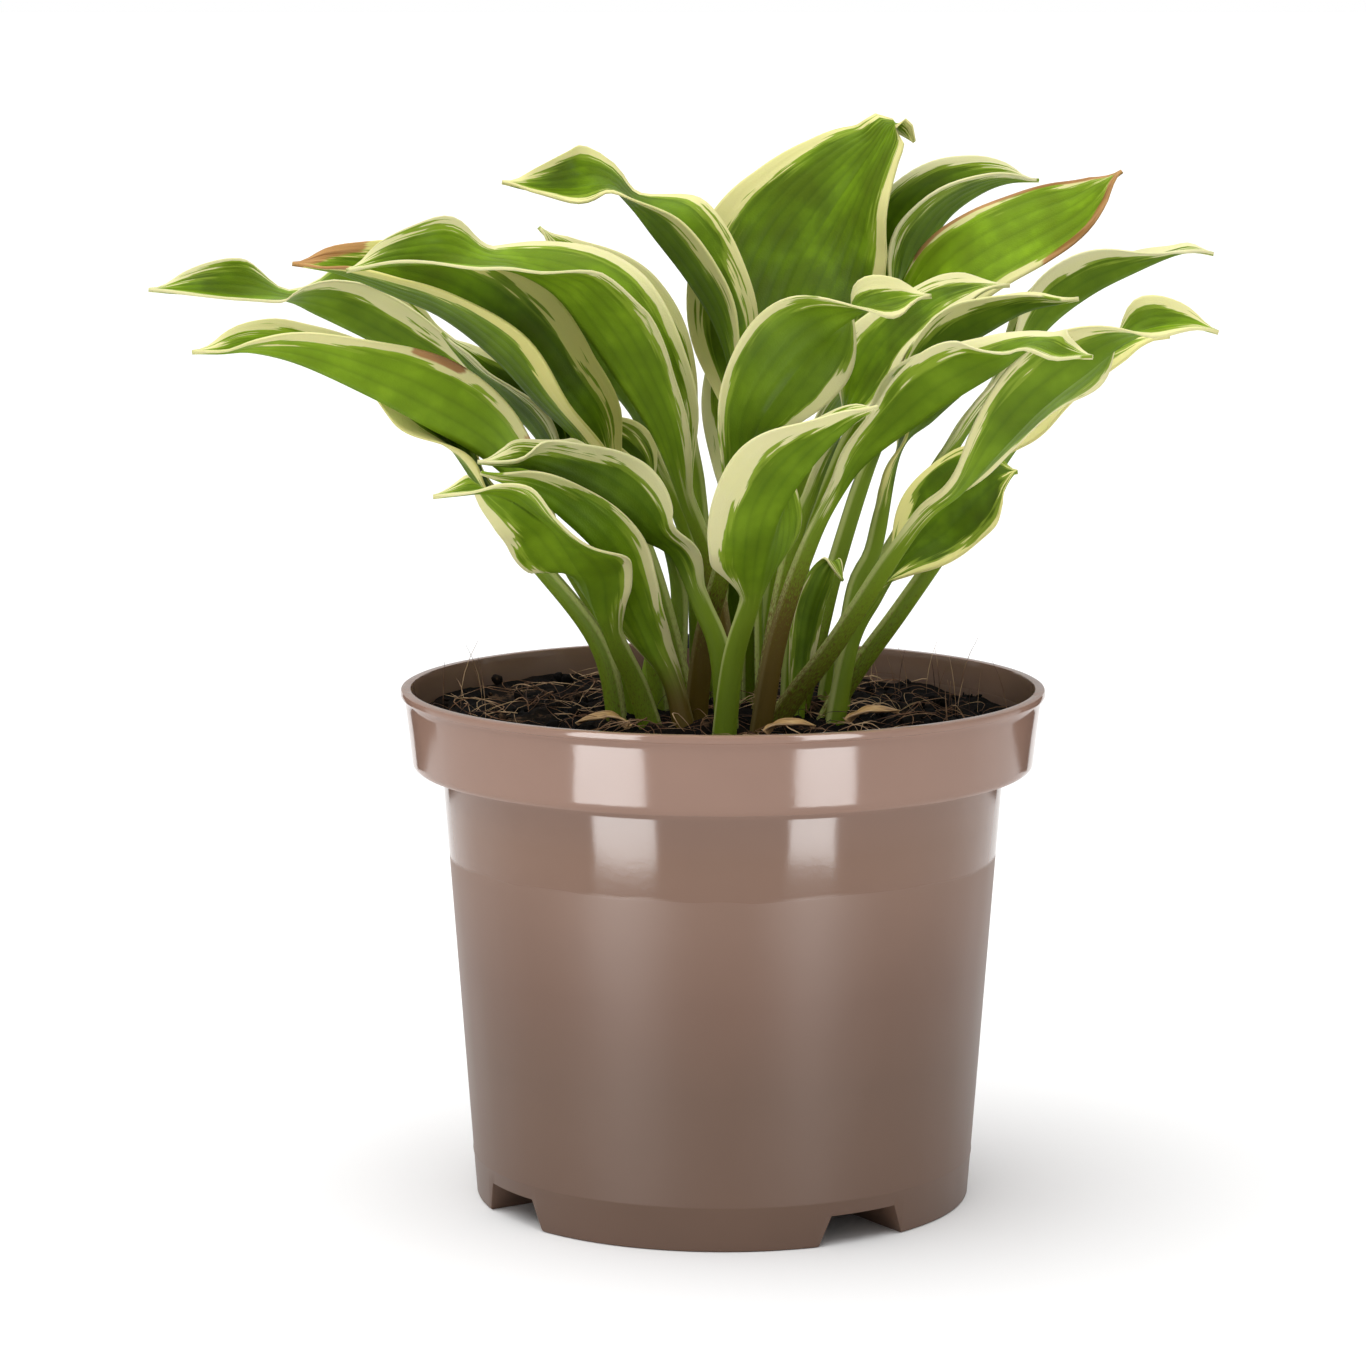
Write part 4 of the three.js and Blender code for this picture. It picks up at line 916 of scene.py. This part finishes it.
class HOSTA_OT_pot(bpy.types.Operator):
    """Make the tapered pot with its band, its rim bead and the notches in its foot"""
    bl_idname = "hosta.make_pot"
    bl_label = "Pot"

    def execute(self, context):
        settings = context.scene.hosta_pot
        height, wall = settings.height / MM, settings.wall / MM
        turns = [math.radians(NOTCH_TURN - 90 + i * 360 / NOTCH_COUNT) for i in range(NOTCH_COUNT)]
        room = mesh_object(spun(pot_inside(height, wall), settings.sides), "room")
        room = carve(room, [mesh_object(notch(turn, FLOOR), "wall") for turn in turns])
        pot = mesh_object(spun(pot_outside(height), settings.sides), "nursery_pot")
        cutters = [mesh_object(notch(turn, 0), "notch") for turn in turns]
        cutters += [mesh_object(drain(turn), "drain") for turn in turns]
        pot = carve(pot, [room] + cutters)
        bevel = pot.modifiers.new("soft edges", "BEVEL")
        bevel.width = EDGE_SOFTENING * MM
        bevel.segments = 2
        bevel.limit_method = "ANGLE"
        bevel.angle_limit = math.radians(50)
        pot = baked(pot)
        bm = bmesh.new()
        bm.from_mesh(pot.data)
        for face in bm.faces:
            face.smooth = True
        for edge in bm.edges:
            edge.smooth = edge.calc_face_angle(0) < math.radians(32)
        inside = bm.verts.layers.float.new("inside")
        for vert in bm.verts:
            reach = math.hypot(vert.co.x, vert.co.y) / MM
            band = vert.co.z / MM > height - BAND_DEPTH
            outer = BAND_FOOT_RADIUS if band else body_radius(vert.co.z / MM, height - BAND_DEPTH)
            vert[inside] = reach < outer - wall / 2 and FLOOR < vert.co.z / MM < height - 1
        bm.to_mesh(pot.data)
        bm.free()
        settle(pot, "pot_plastic", moulded_polypropylene(settings.colour, settings.height), "pot")
        return {"FINISHED"}


# The soil


def soil_height(x, y):
    """How high the soil lies at a place: highest at the back left, with soft lumps all over."""
    slope = SOIL_RISE * ((y - x) / (2 * RIM_RADIUS))
    lumps = LUMP_HEIGHT * math.sin(x / LUMP_LENGTH + 1) * math.cos(y / LUMP_BREADTH)
    crumbs = CRUMB_HEIGHT * math.sin(x / CRUMB_LENGTH - y / CRUMB_BREADTH)
    return SOIL_TOP + slope + lumps + crumbs


def clods(x, y):
    """How far the crumbs of the soil stand up at a place."""
    place = Vector((x, y, 0))
    near = noise.voronoi(place / CLOD)[0][0]
    small = noise.voronoi(place / SMALL_CLOD + Vector((7, 3, 0)))[0][0]
    rough = noise.fractal(place / 9, 1.0, 2.0, 4)
    return 2.6 * (0.45 - near) + 1.3 * (0.45 - small) + 1.1 * rough


class HOSTA_OT_soil(bpy.types.Operator):
    """Make the soil, from its crumbly surface down to just above the pot's floor"""
    bl_idname = "hosta.make_soil"
    bl_label = "Soil"

    def execute(self, context):
        settings = context.scene.hosta_soil
        wall = context.scene.hosta_pot.wall / MM
        height = context.scene.hosta_pot.height / MM
        outer = mix(BAND_FOOT_RADIUS, BAND_RADIUS, 0.55) - wall - SOIL_GAP
        shoulder = BODY_TOP_RADIUS - wall - SOIL_GAP
        bottom = NOTCH_HEIGHT + 2 * FLOOR
        band_foot = height - BAND_DEPTH
        profile = [(outer * i / settings.rings, SOIL_TOP) for i in range(settings.rings + 1)]
        profile += [
            (BAND_FOOT_RADIUS - wall - SOIL_GAP, band_foot + 3 * wall), (shoulder, band_foot + wall),
            (body_radius(bottom, band_foot) - wall - SOIL_GAP, bottom), (0, bottom)]
        bm = spun(profile, settings.turns)
        for vert in bm.verts:
            x, y, z = vert.co
            if z > SOIL_TOP - 0.01:
                reach = math.hypot(x, y)
                lift = clods(x, y) * (1 - 0.8 * share_between(reach, outer - 3, outer))
                mound = MOUND * (1 - share_between(reach, MOUND_TO, MOUND_FROM))
                vert.co.z = soil_height(x, y) + lift + mound - SOIL_GAP
        soil = mesh_object(bm, "peat_soil")
        settle(soil, "soil", moist_peat(settings.dark, settings.brown), "soil")
        return {"FINISHED"}


def resting_place(chance, reach):
    """A random place on the soil, within reach of the middle."""
    distance = reach * math.sqrt(chance.random())
    turn = chance.uniform(0, math.tau)
    return distance * math.cos(turn), distance * math.sin(turn)


class HOSTA_OT_crumbs(bpy.types.Operator):
    """Scatter loose crumbs of peat on the soil"""
    bl_idname = "hosta.make_crumbs"
    bl_label = "Crumbs"

    def execute(self, context):
        settings = context.scene.hosta_soil
        chance = random.Random(11)
        bm = bmesh.new()
        for i in range(settings.crumbs):
            x, y = resting_place(chance, CRUMB_REACH)
            big = i % 4 == 0
            size = chance.uniform(*(BIG_CRUMB_SIZES if big else CRUMB_SIZES))
            place = Matrix.Translation((x, y, soil_height(x, y) + clods(x, y) + 0.3 * size))
            turn = Matrix.Rotation(chance.uniform(0, math.tau), 4, Vector((x + 1, y, 40)))
            stretch = Matrix.Diagonal((1, chance.uniform(0.5, 1), chance.uniform(0.4, 0.8), 1))
            made = bmesh.ops.create_icosphere(
                bm, subdivisions=2 if big else 1, radius=size, matrix=place @ turn @ stretch)
            for vert in made["verts"]:
                vert.co += 0.35 * size * noise.noise_vector(vert.co / (0.8 * size))
        crumbs = mesh_object(bm, "peat_crumbs")
        settle(crumbs, "soil", moist_peat(settings.dark, settings.brown))
        return {"FINISHED"}


def fibre_points(chance):
    """The points of one fibre that lies on the soil in a loose curve."""
    x, y = resting_place(chance, FIBRE_START)
    heading, bend = chance.uniform(0, math.tau), chance.uniform(-0.5, 0.5)
    step = chance.uniform(1.2, 3.4)
    arch = chance.uniform(0.5, 4.5)
    points = []
    for i in range(FIBRE_STEPS):
        if math.hypot(x, y) > FIBRE_REACH:
            break
        rise = arch * math.sin(math.pi * i / (FIBRE_STEPS - 1))
        points.append((x, y, soil_height(x, y) + 1.2 + rise + chance.uniform(-0.2, 0.2)))
        heading += bend + chance.uniform(-0.2, 0.2)
        x += step * math.cos(heading)
        y += step * math.sin(heading)
    return points


def hair_points(chance, x, y, tall):
    """The points of one hair that stands up from the soil."""
    lean_x, lean_y = chance.uniform(-0.3, 0.3), chance.uniform(-0.3, 0.3)
    z = soil_height(x, y)
    return [(x + lean_x * t * t * tall, y + lean_y * t * t * tall, z + tall * t)
            for t in (0, 0.25, 0.5, 0.75, 1)]


def strands(name, paths, radius):
    """One mesh of thin round strands along the paths."""
    curve = bpy.data.curves.new(name, "CURVE")
    curve.dimensions = "3D"
    curve.bevel_depth = radius * MM
    curve.bevel_resolution = 0
    curve.use_fill_caps = True
    for path in paths:
        if len(path) < 3:
            continue
        spline = curve.splines.new("POLY")
        spline.points.add(len(path) - 1)
        for i, (point, corner) in enumerate(zip(spline.points, path)):
            point.co = (*[c * MM for c in corner], 1)
            point.radius = 1 - 0.55 * abs(2 * i / (len(path) - 1) - 1)
    piece = bpy.data.objects.new(name, curve)
    bpy.context.scene.collection.objects.link(piece)
    made = baked(piece)
    for face in made.data.polygons:
        face.use_smooth = True
    return made


class HOSTA_OT_fibres(bpy.types.Operator):
    """Scatter coir fibres on the soil, with a few hairs that stand up by the wall"""
    bl_idname = "hosta.make_fibres"
    bl_label = "Fibres"

    def execute(self, context):
        chance = random.Random(5)
        material = coir_fibre()
        paths = [fibre_points(chance) for _ in range(context.scene.hosta_soil.fibres)]
        settle(strands("coir_fibres", paths[::3], FIBRE_RADIUS), "soil", material)
        fine = strands("coir_fine_fibres", paths[1::3] + paths[2::3], FINE_FIBRE_RADIUS)
        settle(fine, "soil", material)
        hairs = []
        for _ in range(HAIRS):
            side = chance.choice((-1, 1, 1))
            turn = math.radians(chance.uniform(-10, 75))
            reach = chance.uniform(*HAIR_RING)
            x, y = side * reach * math.cos(turn), reach * math.sin(turn)
            hairs.append(hair_points(chance, x, y, chance.uniform(*HAIR_HEIGHTS)))
        settle(strands("root_hairs", hairs, HAIR_RADIUS), "soil", material)
        return {"FINISHED"}


class HOSTA_OT_bark(bpy.types.Operator):
    """Make the bent chip of bark at the back of the soil"""
    bl_idname = "hosta.make_bark"
    bl_label = "Bark chip"

    def execute(self, context):
        low, high = (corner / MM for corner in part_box("bark_chip"))
        left, foot, middle = low.x, low.z, (low.x + high.x) / 2
        outline = ((left, foot), (left + 0.5, high.z - 3), (middle + 1, high.z), (high.x, high.z - 2),
                   (high.x - 0.5, foot), (high.x - 2.5, foot), (middle + 2, high.z - 4),
                   (middle - 2, high.z - 3.5), (left + 2, foot))
        bm = bmesh.new()
        face = bm.faces.new([bm.verts.new((x, high.y, z)) for x, z in outline])
        end = bmesh.ops.extrude_face_region(bm, geom=[face])["geom"]
        far = [v for v in end if isinstance(v, bmesh.types.BMVert)]
        bmesh.ops.translate(bm, vec=(0, low.y - high.y, 0), verts=far)
        bmesh.ops.recalc_face_normals(bm, faces=bm.faces[:])
        bmesh.ops.triangulate(bm, faces=bm.faces[:])
        bmesh.ops.subdivide_edges(bm, edges=bm.edges[:], cuts=4, use_grid_fill=True)
        for vert in bm.verts:
            vert.co += 0.9 * noise.noise_vector(vert.co / 2.5)
        settle(mesh_object(bm, "bark_arch"), "bark", charred_bark(), "bark_chip")
        return {"FINISHED"}


# The leaves


def through(rows, t):
    """Rows of numbers read at t from 0 to 1, on a smooth curve that passes through every row."""
    last = len(rows) - 1
    place = min(t * last, last - 1e-6)
    i = int(place)
    f = place - i
    b, c = rows[i], rows[i + 1]
    a = rows[i - 1] if i > 0 else [2 * p - q for p, q in zip(b, c)]
    d = rows[i + 2] if i + 2 <= last else [2 * q - p for p, q in zip(b, c)]
    return [
        q + 0.5 * f * (r - p + f * ((2 * p - 5 * q + 4 * r - s) + f * (3 * (q - r) + s - p)))
        for p, q, r, s in zip(a, b, c, d)]


def spine_of(leaf):
    """Even steps along the route: the place, the way it runs, the run so far and the lifts."""
    rows = [through(leaf["route"], i / SPINE_STEPS) for i in range(SPINE_STEPS + 1)]
    places = [Vector(row[:3]) for row in rows]
    spine = []
    run = 0.0
    for i, place in enumerate(places):
        before, after = places[max(i - 1, 0)], places[min(i + 1, SPINE_STEPS)]
        if i > 0:
            run += (place - before).length
        spine.append((place, (after - before).normalized(), run, rows[i][3:]))
    return spine


def station_at(leaf, spine, share):
    """A cross-section's frame: its wings leave the spine level, and its upper side faces up."""
    run = share * spine[-1][2]
    i = 0
    while i < len(spine) - 2 and spine[i + 1][2] < run:
        i += 1
    a, b = spine[i], spine[i + 1]
    f = (run - a[2]) / (b[2] - a[2])
    along = a[1].lerp(b[1], f).normalized()
    facing = math.radians(leaf["faces"])
    side = Vector((math.sin(facing), -math.cos(facing), 0))
    side = (side - along * side.dot(along)).normalized()
    upper = along.cross(side)
    lifts = [math.radians(mix(p, q, f)) for p, q in zip(a[3], b[3])]
    return a[0].lerp(b[0], f), upper, side, lifts, run


def half_width(leaf, share):
    """Half of the width at a share of the length, measured round the section."""
    q = min(max((share - leaf["blade"]) / (1 - leaf["blade"]), 0), 1)
    stalk = mix(STALK_FOOT_HALF, STALK_HALF, share_between(share, 0, leaf["blade"])) * leaf["stalk"]
    blade = leaf["half"] * max(math.sin(math.pi * q ** leaf["belly"]), 0) ** BLADE_ROUNDNESS
    return max(math.hypot(stalk * (1 - share_between(q, 0, STALK_FADE)), blade), TIP_HALF)


def section_point(leaf, share, lifts, v, face, relief):
    """How far across and how high the point at v lies, on the upper face 0 or the under face 1."""
    q = (share - leaf["blade"]) / (1 - leaf["blade"])
    opened = share_between(q, OPEN_FROM, OPEN_TO)
    wing = 0 if v < 0 else 1
    half = half_width(leaf, share)
    fold = mix(math.radians(STALK_FOLD), lifts[wing] * min(half / FLAT_TIP_HALF, 1), opened)
    curl = math.radians(mix(STALK_CURL, leaf["curl"], opened)) or 1e-6
    reach = abs(v)
    angle = fold + curl * reach
    sign = math.copysign(1, v) if v else 0
    across = half / curl * (math.sin(angle) - math.sin(fold)) * sign
    height, waves, start = leaf["wave"]
    ripple = height * reach ** RIPPLE_POWER * share_between(q, 0, OPEN_TO)
    ripple *= 1 - share_between(q, RIPPLE_FADE, 1)
    turns = waves * q + start + wing * RIPPLE_SHIFT
    rise = half / curl * (math.cos(fold) - math.cos(angle)) + ripple * math.sin(math.tau * turns)
    middle = mix(STALK_THICKNESS, MIDRIB_THICKNESS, opened)
    hollow = mix(STALK_HOLLOW, BLADE_HOLLOW, opened)
    thickness = mix(BLADE_THICKNESS, middle, (1 - reach) ** hollow)
    lean = angle * sign
    down = face * thickness + relief * opened
    return across + down * math.sin(lean), rise - down * math.cos(lean)


def vein_at(v, count):
    """1 on a vein and 0 between two, for that many veins on each wing."""
    place = abs(v) * count
    off = abs(place - round(place)) * 2
    return (1 - off) ** 3 if round(place) < count else 0.0


def edge_width(dress, q, wing, seed):
    """How wide the cream edge is, in millimetres, at a share of the blade."""
    swell = 0.3 + 0.7 * math.sin(math.pi * min(max(q, 0.0), 1.0)) ** 0.6
    drift = 1 + 0.7 * noise.noise(Vector((q * 3.2, seed * 7.3, wing * 5.1)))
    return mix(STALK_RIM, dress["edge"][wing] * swell * drift, share_between(q, -0.1, 0.12))


def dryness(dress, q, wing, from_edge):
    """How dry and brown the leaf is there."""
    most = 0.0
    for side, start, end, depth in dress.get("dry", ()):
        if side == wing:
            inside = share_between(q, start - 0.03, start + 0.02)
            inside *= 1 - share_between(q, end - 0.02, end + 0.03)
            most = max(most, inside * (1 - share_between(from_edge, 0.4 * depth, depth)))
    return most


LAYERS = ("border", "petiole", "foot", "dry", "underside", "light", "yellow", "vein")


def leaf_mesh(leaf, dress, settings, seed):
    """One leaf as a bmesh: a grid laid along the spine, then given its thickness and its veins."""
    spine = spine_of(leaf)
    opens = leaf["blade"] * FINE_ROWS_FROM
    shares = [opens * i / settings.stalk_rows for i in range(settings.stalk_rows)]
    shares += [mix(opens, 1.0, i / settings.rows) for i in range(settings.rows + 1)]
    veins = max(3, round(leaf["half"] * MM / settings.vein_spacing))
    columns = 2 * veins * SAMPLES_PER_VEIN
    bm = bmesh.new()
    bmesh.ops.create_grid(bm, x_segments=columns, y_segments=len(shares) - 1, size=1)
    layers = {name: bm.verts.layers.float.new(name) for name in LAYERS}
    row_layer = bm.verts.layers.int.new("row")
    across_layer = bm.verts.layers.float.new("across")
    run_layer = bm.verts.layers.float.new("run")
    for i, vert in enumerate(bm.verts):
        vert[row_layer] = i // (columns + 1)
        vert[across_layer] = 2 * (i % (columns + 1)) / columns - 1
    upper_face = set(bm.verts)
    bmesh.ops.extrude_face_region(bm, geom=bm.faces[:])
    stations = [station_at(leaf, spine, share) for share in shares]
    for vert in bm.verts:
        row, v = vert[row_layer], vert[across_layer]
        share = shares[row]
        place, upper, side, lifts, run = stations[row]
        q = (share - leaf["blade"]) / (1 - leaf["blade"])
        wing = 0 if v < 0 else 1
        face = 0 if vert in upper_face else 1
        half = half_width(leaf, share)
        from_edge = (1 - abs(v)) * half
        vein = vein_at(v, veins)
        sink = vein * share_between(from_edge, *VEIN_FADE) * settings.vein_depth / MM
        across, rise = section_point(leaf, share, lifts, v, face, sink)
        vert.co = place + side * across + upper * rise
        vert[layers["border"]] = edge_width(dress, q, wing, seed) - from_edge
        vert[layers["petiole"]] = 1 - share_between(q, -0.08, 0.16)
        vert[layers["foot"]] = dress["purple"] * (1 - share_between(place.z, SOIL_TOP, STAIN_TOP))
        vert[layers["dry"]] = dryness(dress, q, wing, from_edge)
        vert[layers["underside"]] = face
        # The leaf's lightness: partly its own tone, partly painted shade and light for where it sits
        # in the clump
        vert[layers["light"]] = dress["light"]
        vert[layers["yellow"]] = dress["yellow"]
        vert[layers["vein"]] = vein
        vert[run_layer] = run
    uv = bm.loops.layers.uv.new("blade")
    for face in bm.faces:
        for loop in face.loops:
            vert = loop.vert
            loop[uv].uv = (vert[across_layer] * leaf["half"] / UV_UNIT + UV_APART * seed,
                           vert[run_layer] / UV_UNIT)
    bm.verts.layers.int.remove(row_layer)
    for name in ("across", "run"):
        bm.verts.layers.float.remove(bm.verts.layers.float[name])
    bmesh.ops.recalc_face_normals(bm, faces=bm.faces[:])
    return bm


class HOSTA_OT_leaves(bpy.types.Operator):
    """Make every leaf, blade and stalk in one"""
    bl_idname = "hosta.make_leaves"
    bl_label = "Leaves"

    def execute(self, context):
        settings = context.scene.hosta_leaves
        material = hosta_leaf(settings.cream)
        for seed, (name, own) in enumerate(LEAVES.items()):
            bm = leaf_mesh({**USUAL, **own}, DRESS[name], settings, seed)
            settle(mesh_object(bm, "hosta_" + name), "leaf", material, "leaf_" + name)
        return {"FINISHED"}


class HOSTA_OT_scales(bpy.types.Operator):
    """Make the dried sheath scales that lie on the soil"""
    bl_idname = "hosta.make_scales"
    bl_label = "Dried scales"

    def execute(self, context):
        material = dry_sheath()
        for seed, (name, own) in enumerate(SCALES.items()):
            leaf = {**USUAL, **SCALE, **own}
            bm = leaf_mesh(leaf, SCALE_DRESS, context.scene.hosta_leaves, seed)
            settle(mesh_object(bm, "dried_" + name), "dried_sheath", material, name)
        return {"FINISHED"}


# The studio


def lamp(name, kind, power, **settings):
    """A lamp of that kind and power, with its own settings."""
    light = bpy.data.lights.new(name, kind)
    light.energy = power
    for key, value in settings.items():
        setattr(light, key, value)
    holder = bpy.data.objects.new(name, light)
    bpy.context.scene.collection.objects.link(holder)
    return holder


def aim(thing, place, target):
    """Puts a thing at a place and turns it towards the target."""
    thing.location = place
    thing.rotation_euler = (Vector(target) - Vector(place)).to_track_quat("-Z", "Y").to_euler()


class HOSTA_OT_studio(bpy.types.Operator):
    """Make the pale floor, the soft lights and the camera"""
    bl_idname = "hosta.make_studio"
    bl_label = "Studio"

    def execute(self, context):
        settings = context.scene.hosta_studio
        bm = bmesh.new()
        bmesh.ops.create_grid(bm, x_segments=4, y_segments=4, size=FLOOR_HALF)
        bmesh.ops.translate(bm, vec=(0, 0, -FLOOR_DROP), verts=bm.verts[:])
        floor = mesh_object(bm, "paper_floor")
        floor.data.materials.append(white_paper())

        world = bpy.data.worlds.new("daylight")
        world.use_nodes = True
        tree = world.node_tree
        seen = add(tree, "ShaderNodeLightPath").outputs["Is Camera Ray"]
        strength = add(tree, "ShaderNodeMix", None, {0: seen, 2: settings.daylight, 3: 1.0})
        tree.links.new(strength.outputs[0], tree.nodes["Background"].inputs["Strength"])
        tree.nodes["Background"].inputs["Color"].default_value = linear("#FFFFFF")
        context.scene.world = world

        key = lamp("key", "SUN", settings.key, angle=math.radians(KEY_ANGLE))
        aim(key, KEY_PLACE, KEY_TARGET)
        for side, (turn, width) in STRIPS.items():
            power = settings.strips * width / STRIP_USUAL_WIDTH
            strip = lamp("strip_" + side, "AREA", power, shape="RECTANGLE", size=width,
                         size_y=STRIP_HEIGHT)
            angle = math.radians(turn)
            place = (STRIP_AWAY * math.sin(angle), -STRIP_AWAY * math.cos(angle), STRIP_RISE)
            aim(strip, place, (0, 0, STRIP_RISE))
            strip.visible_diffuse = False
            strip.visible_camera = False

        # Two dark flags behind the pot draw a thin dark line down each side of it
        for name, side in (("flag_left", -1), ("flag_right", 1)):
            bm = bmesh.new()
            bmesh.ops.create_grid(bm, x_segments=1, y_segments=1, size=FLAG_HALF)
            upright = Matrix.Rotation(math.pi / 2, 4, "X")
            turned = Matrix.Rotation(side * math.radians(-FLAG_TURN), 4, "Z")
            place = Matrix.Translation((side * FLAG_PLACE[0], *FLAG_PLACE[1:]))
            bmesh.ops.transform(bm, matrix=place @ turned @ upright, verts=bm.verts[:])
            flag = mesh_object(bm, name)
            flag.data.materials.append(black_felt())
            flag.visible_camera = flag.visible_diffuse = flag.visible_shadow = False

        camera = bpy.data.cameras.new("camera")
        camera.lens = settings.lens
        camera.sensor_width = SENSOR_WIDTH
        holder = bpy.data.objects.new("camera", camera)
        context.scene.collection.objects.link(holder)
        holder.location = CAMERA_PLACE
        holder.rotation_euler = (math.radians(90 - CAMERA_DIP), 0, math.radians(CAMERA_TURN))
        context.scene.camera = holder
        context.scene.view_settings.view_transform = "Standard"
        return {"FINISHED"}


class HOSTA_PT_panel(bpy.types.Panel):
    """The hosta's pieces and their sizes"""
    bl_idname = "HOSTA_PT_panel"
    bl_label = "Potted hosta"
    bl_space_type = "VIEW_3D"
    bl_region_type = "UI"
    bl_category = "Hosta"

    def draw(self, context):
        scene = context.scene
        for group, names in (
                (scene.hosta_pot, ("height", "wall", "sides", "colour")),
                (scene.hosta_soil, ("rings", "turns", "crumbs", "fibres", "dark", "brown")),
                (scene.hosta_leaves, ("rows", "stalk_rows", "vein_spacing", "vein_depth", "cream")),
                (scene.hosta_studio, ("daylight", "key", "strips", "lens"))):
            for name in names:
                self.layout.prop(group, name)
        for operator in OPERATORS:
            self.layout.operator(operator.bl_idname)


GROUPS = {
    "hosta_pot": PotSettings,
    "hosta_soil": SoilSettings,
    "hosta_leaves": LeafSettings,
    "hosta_studio": StudioSettings,
}
OPERATORS = (
    HOSTA_OT_pot, HOSTA_OT_soil, HOSTA_OT_crumbs, HOSTA_OT_fibres, HOSTA_OT_bark, HOSTA_OT_leaves,
    HOSTA_OT_scales, HOSTA_OT_studio,
)


def register():
    """Adds the settings, the operators and the panel to Blender."""
    for name, group in GROUPS.items():
        bpy.utils.register_class(group)
        setattr(bpy.types.Scene, name, bpy.props.PointerProperty(type=group))
    for operator in OPERATORS:
        bpy.utils.register_class(operator)
    bpy.utils.register_class(HOSTA_PT_panel)


def unregister():
    """Takes them away again."""
    bpy.utils.unregister_class(HOSTA_PT_panel)
    for operator in reversed(OPERATORS):
        bpy.utils.unregister_class(operator)
    for name, group in GROUPS.items():
        delattr(bpy.types.Scene, name)
        bpy.utils.unregister_class(group)


def main():
    """Builds every piece in turn."""
    register()
    bpy.ops.hosta.make_studio()
    bpy.ops.hosta.make_pot()
    bpy.ops.hosta.make_soil()
    bpy.ops.hosta.make_crumbs()
    bpy.ops.hosta.make_fibres()
    bpy.ops.hosta.make_bark()
    bpy.ops.hosta.make_leaves()
    bpy.ops.hosta.make_scales()


if __name__ == "__main__":
    main()
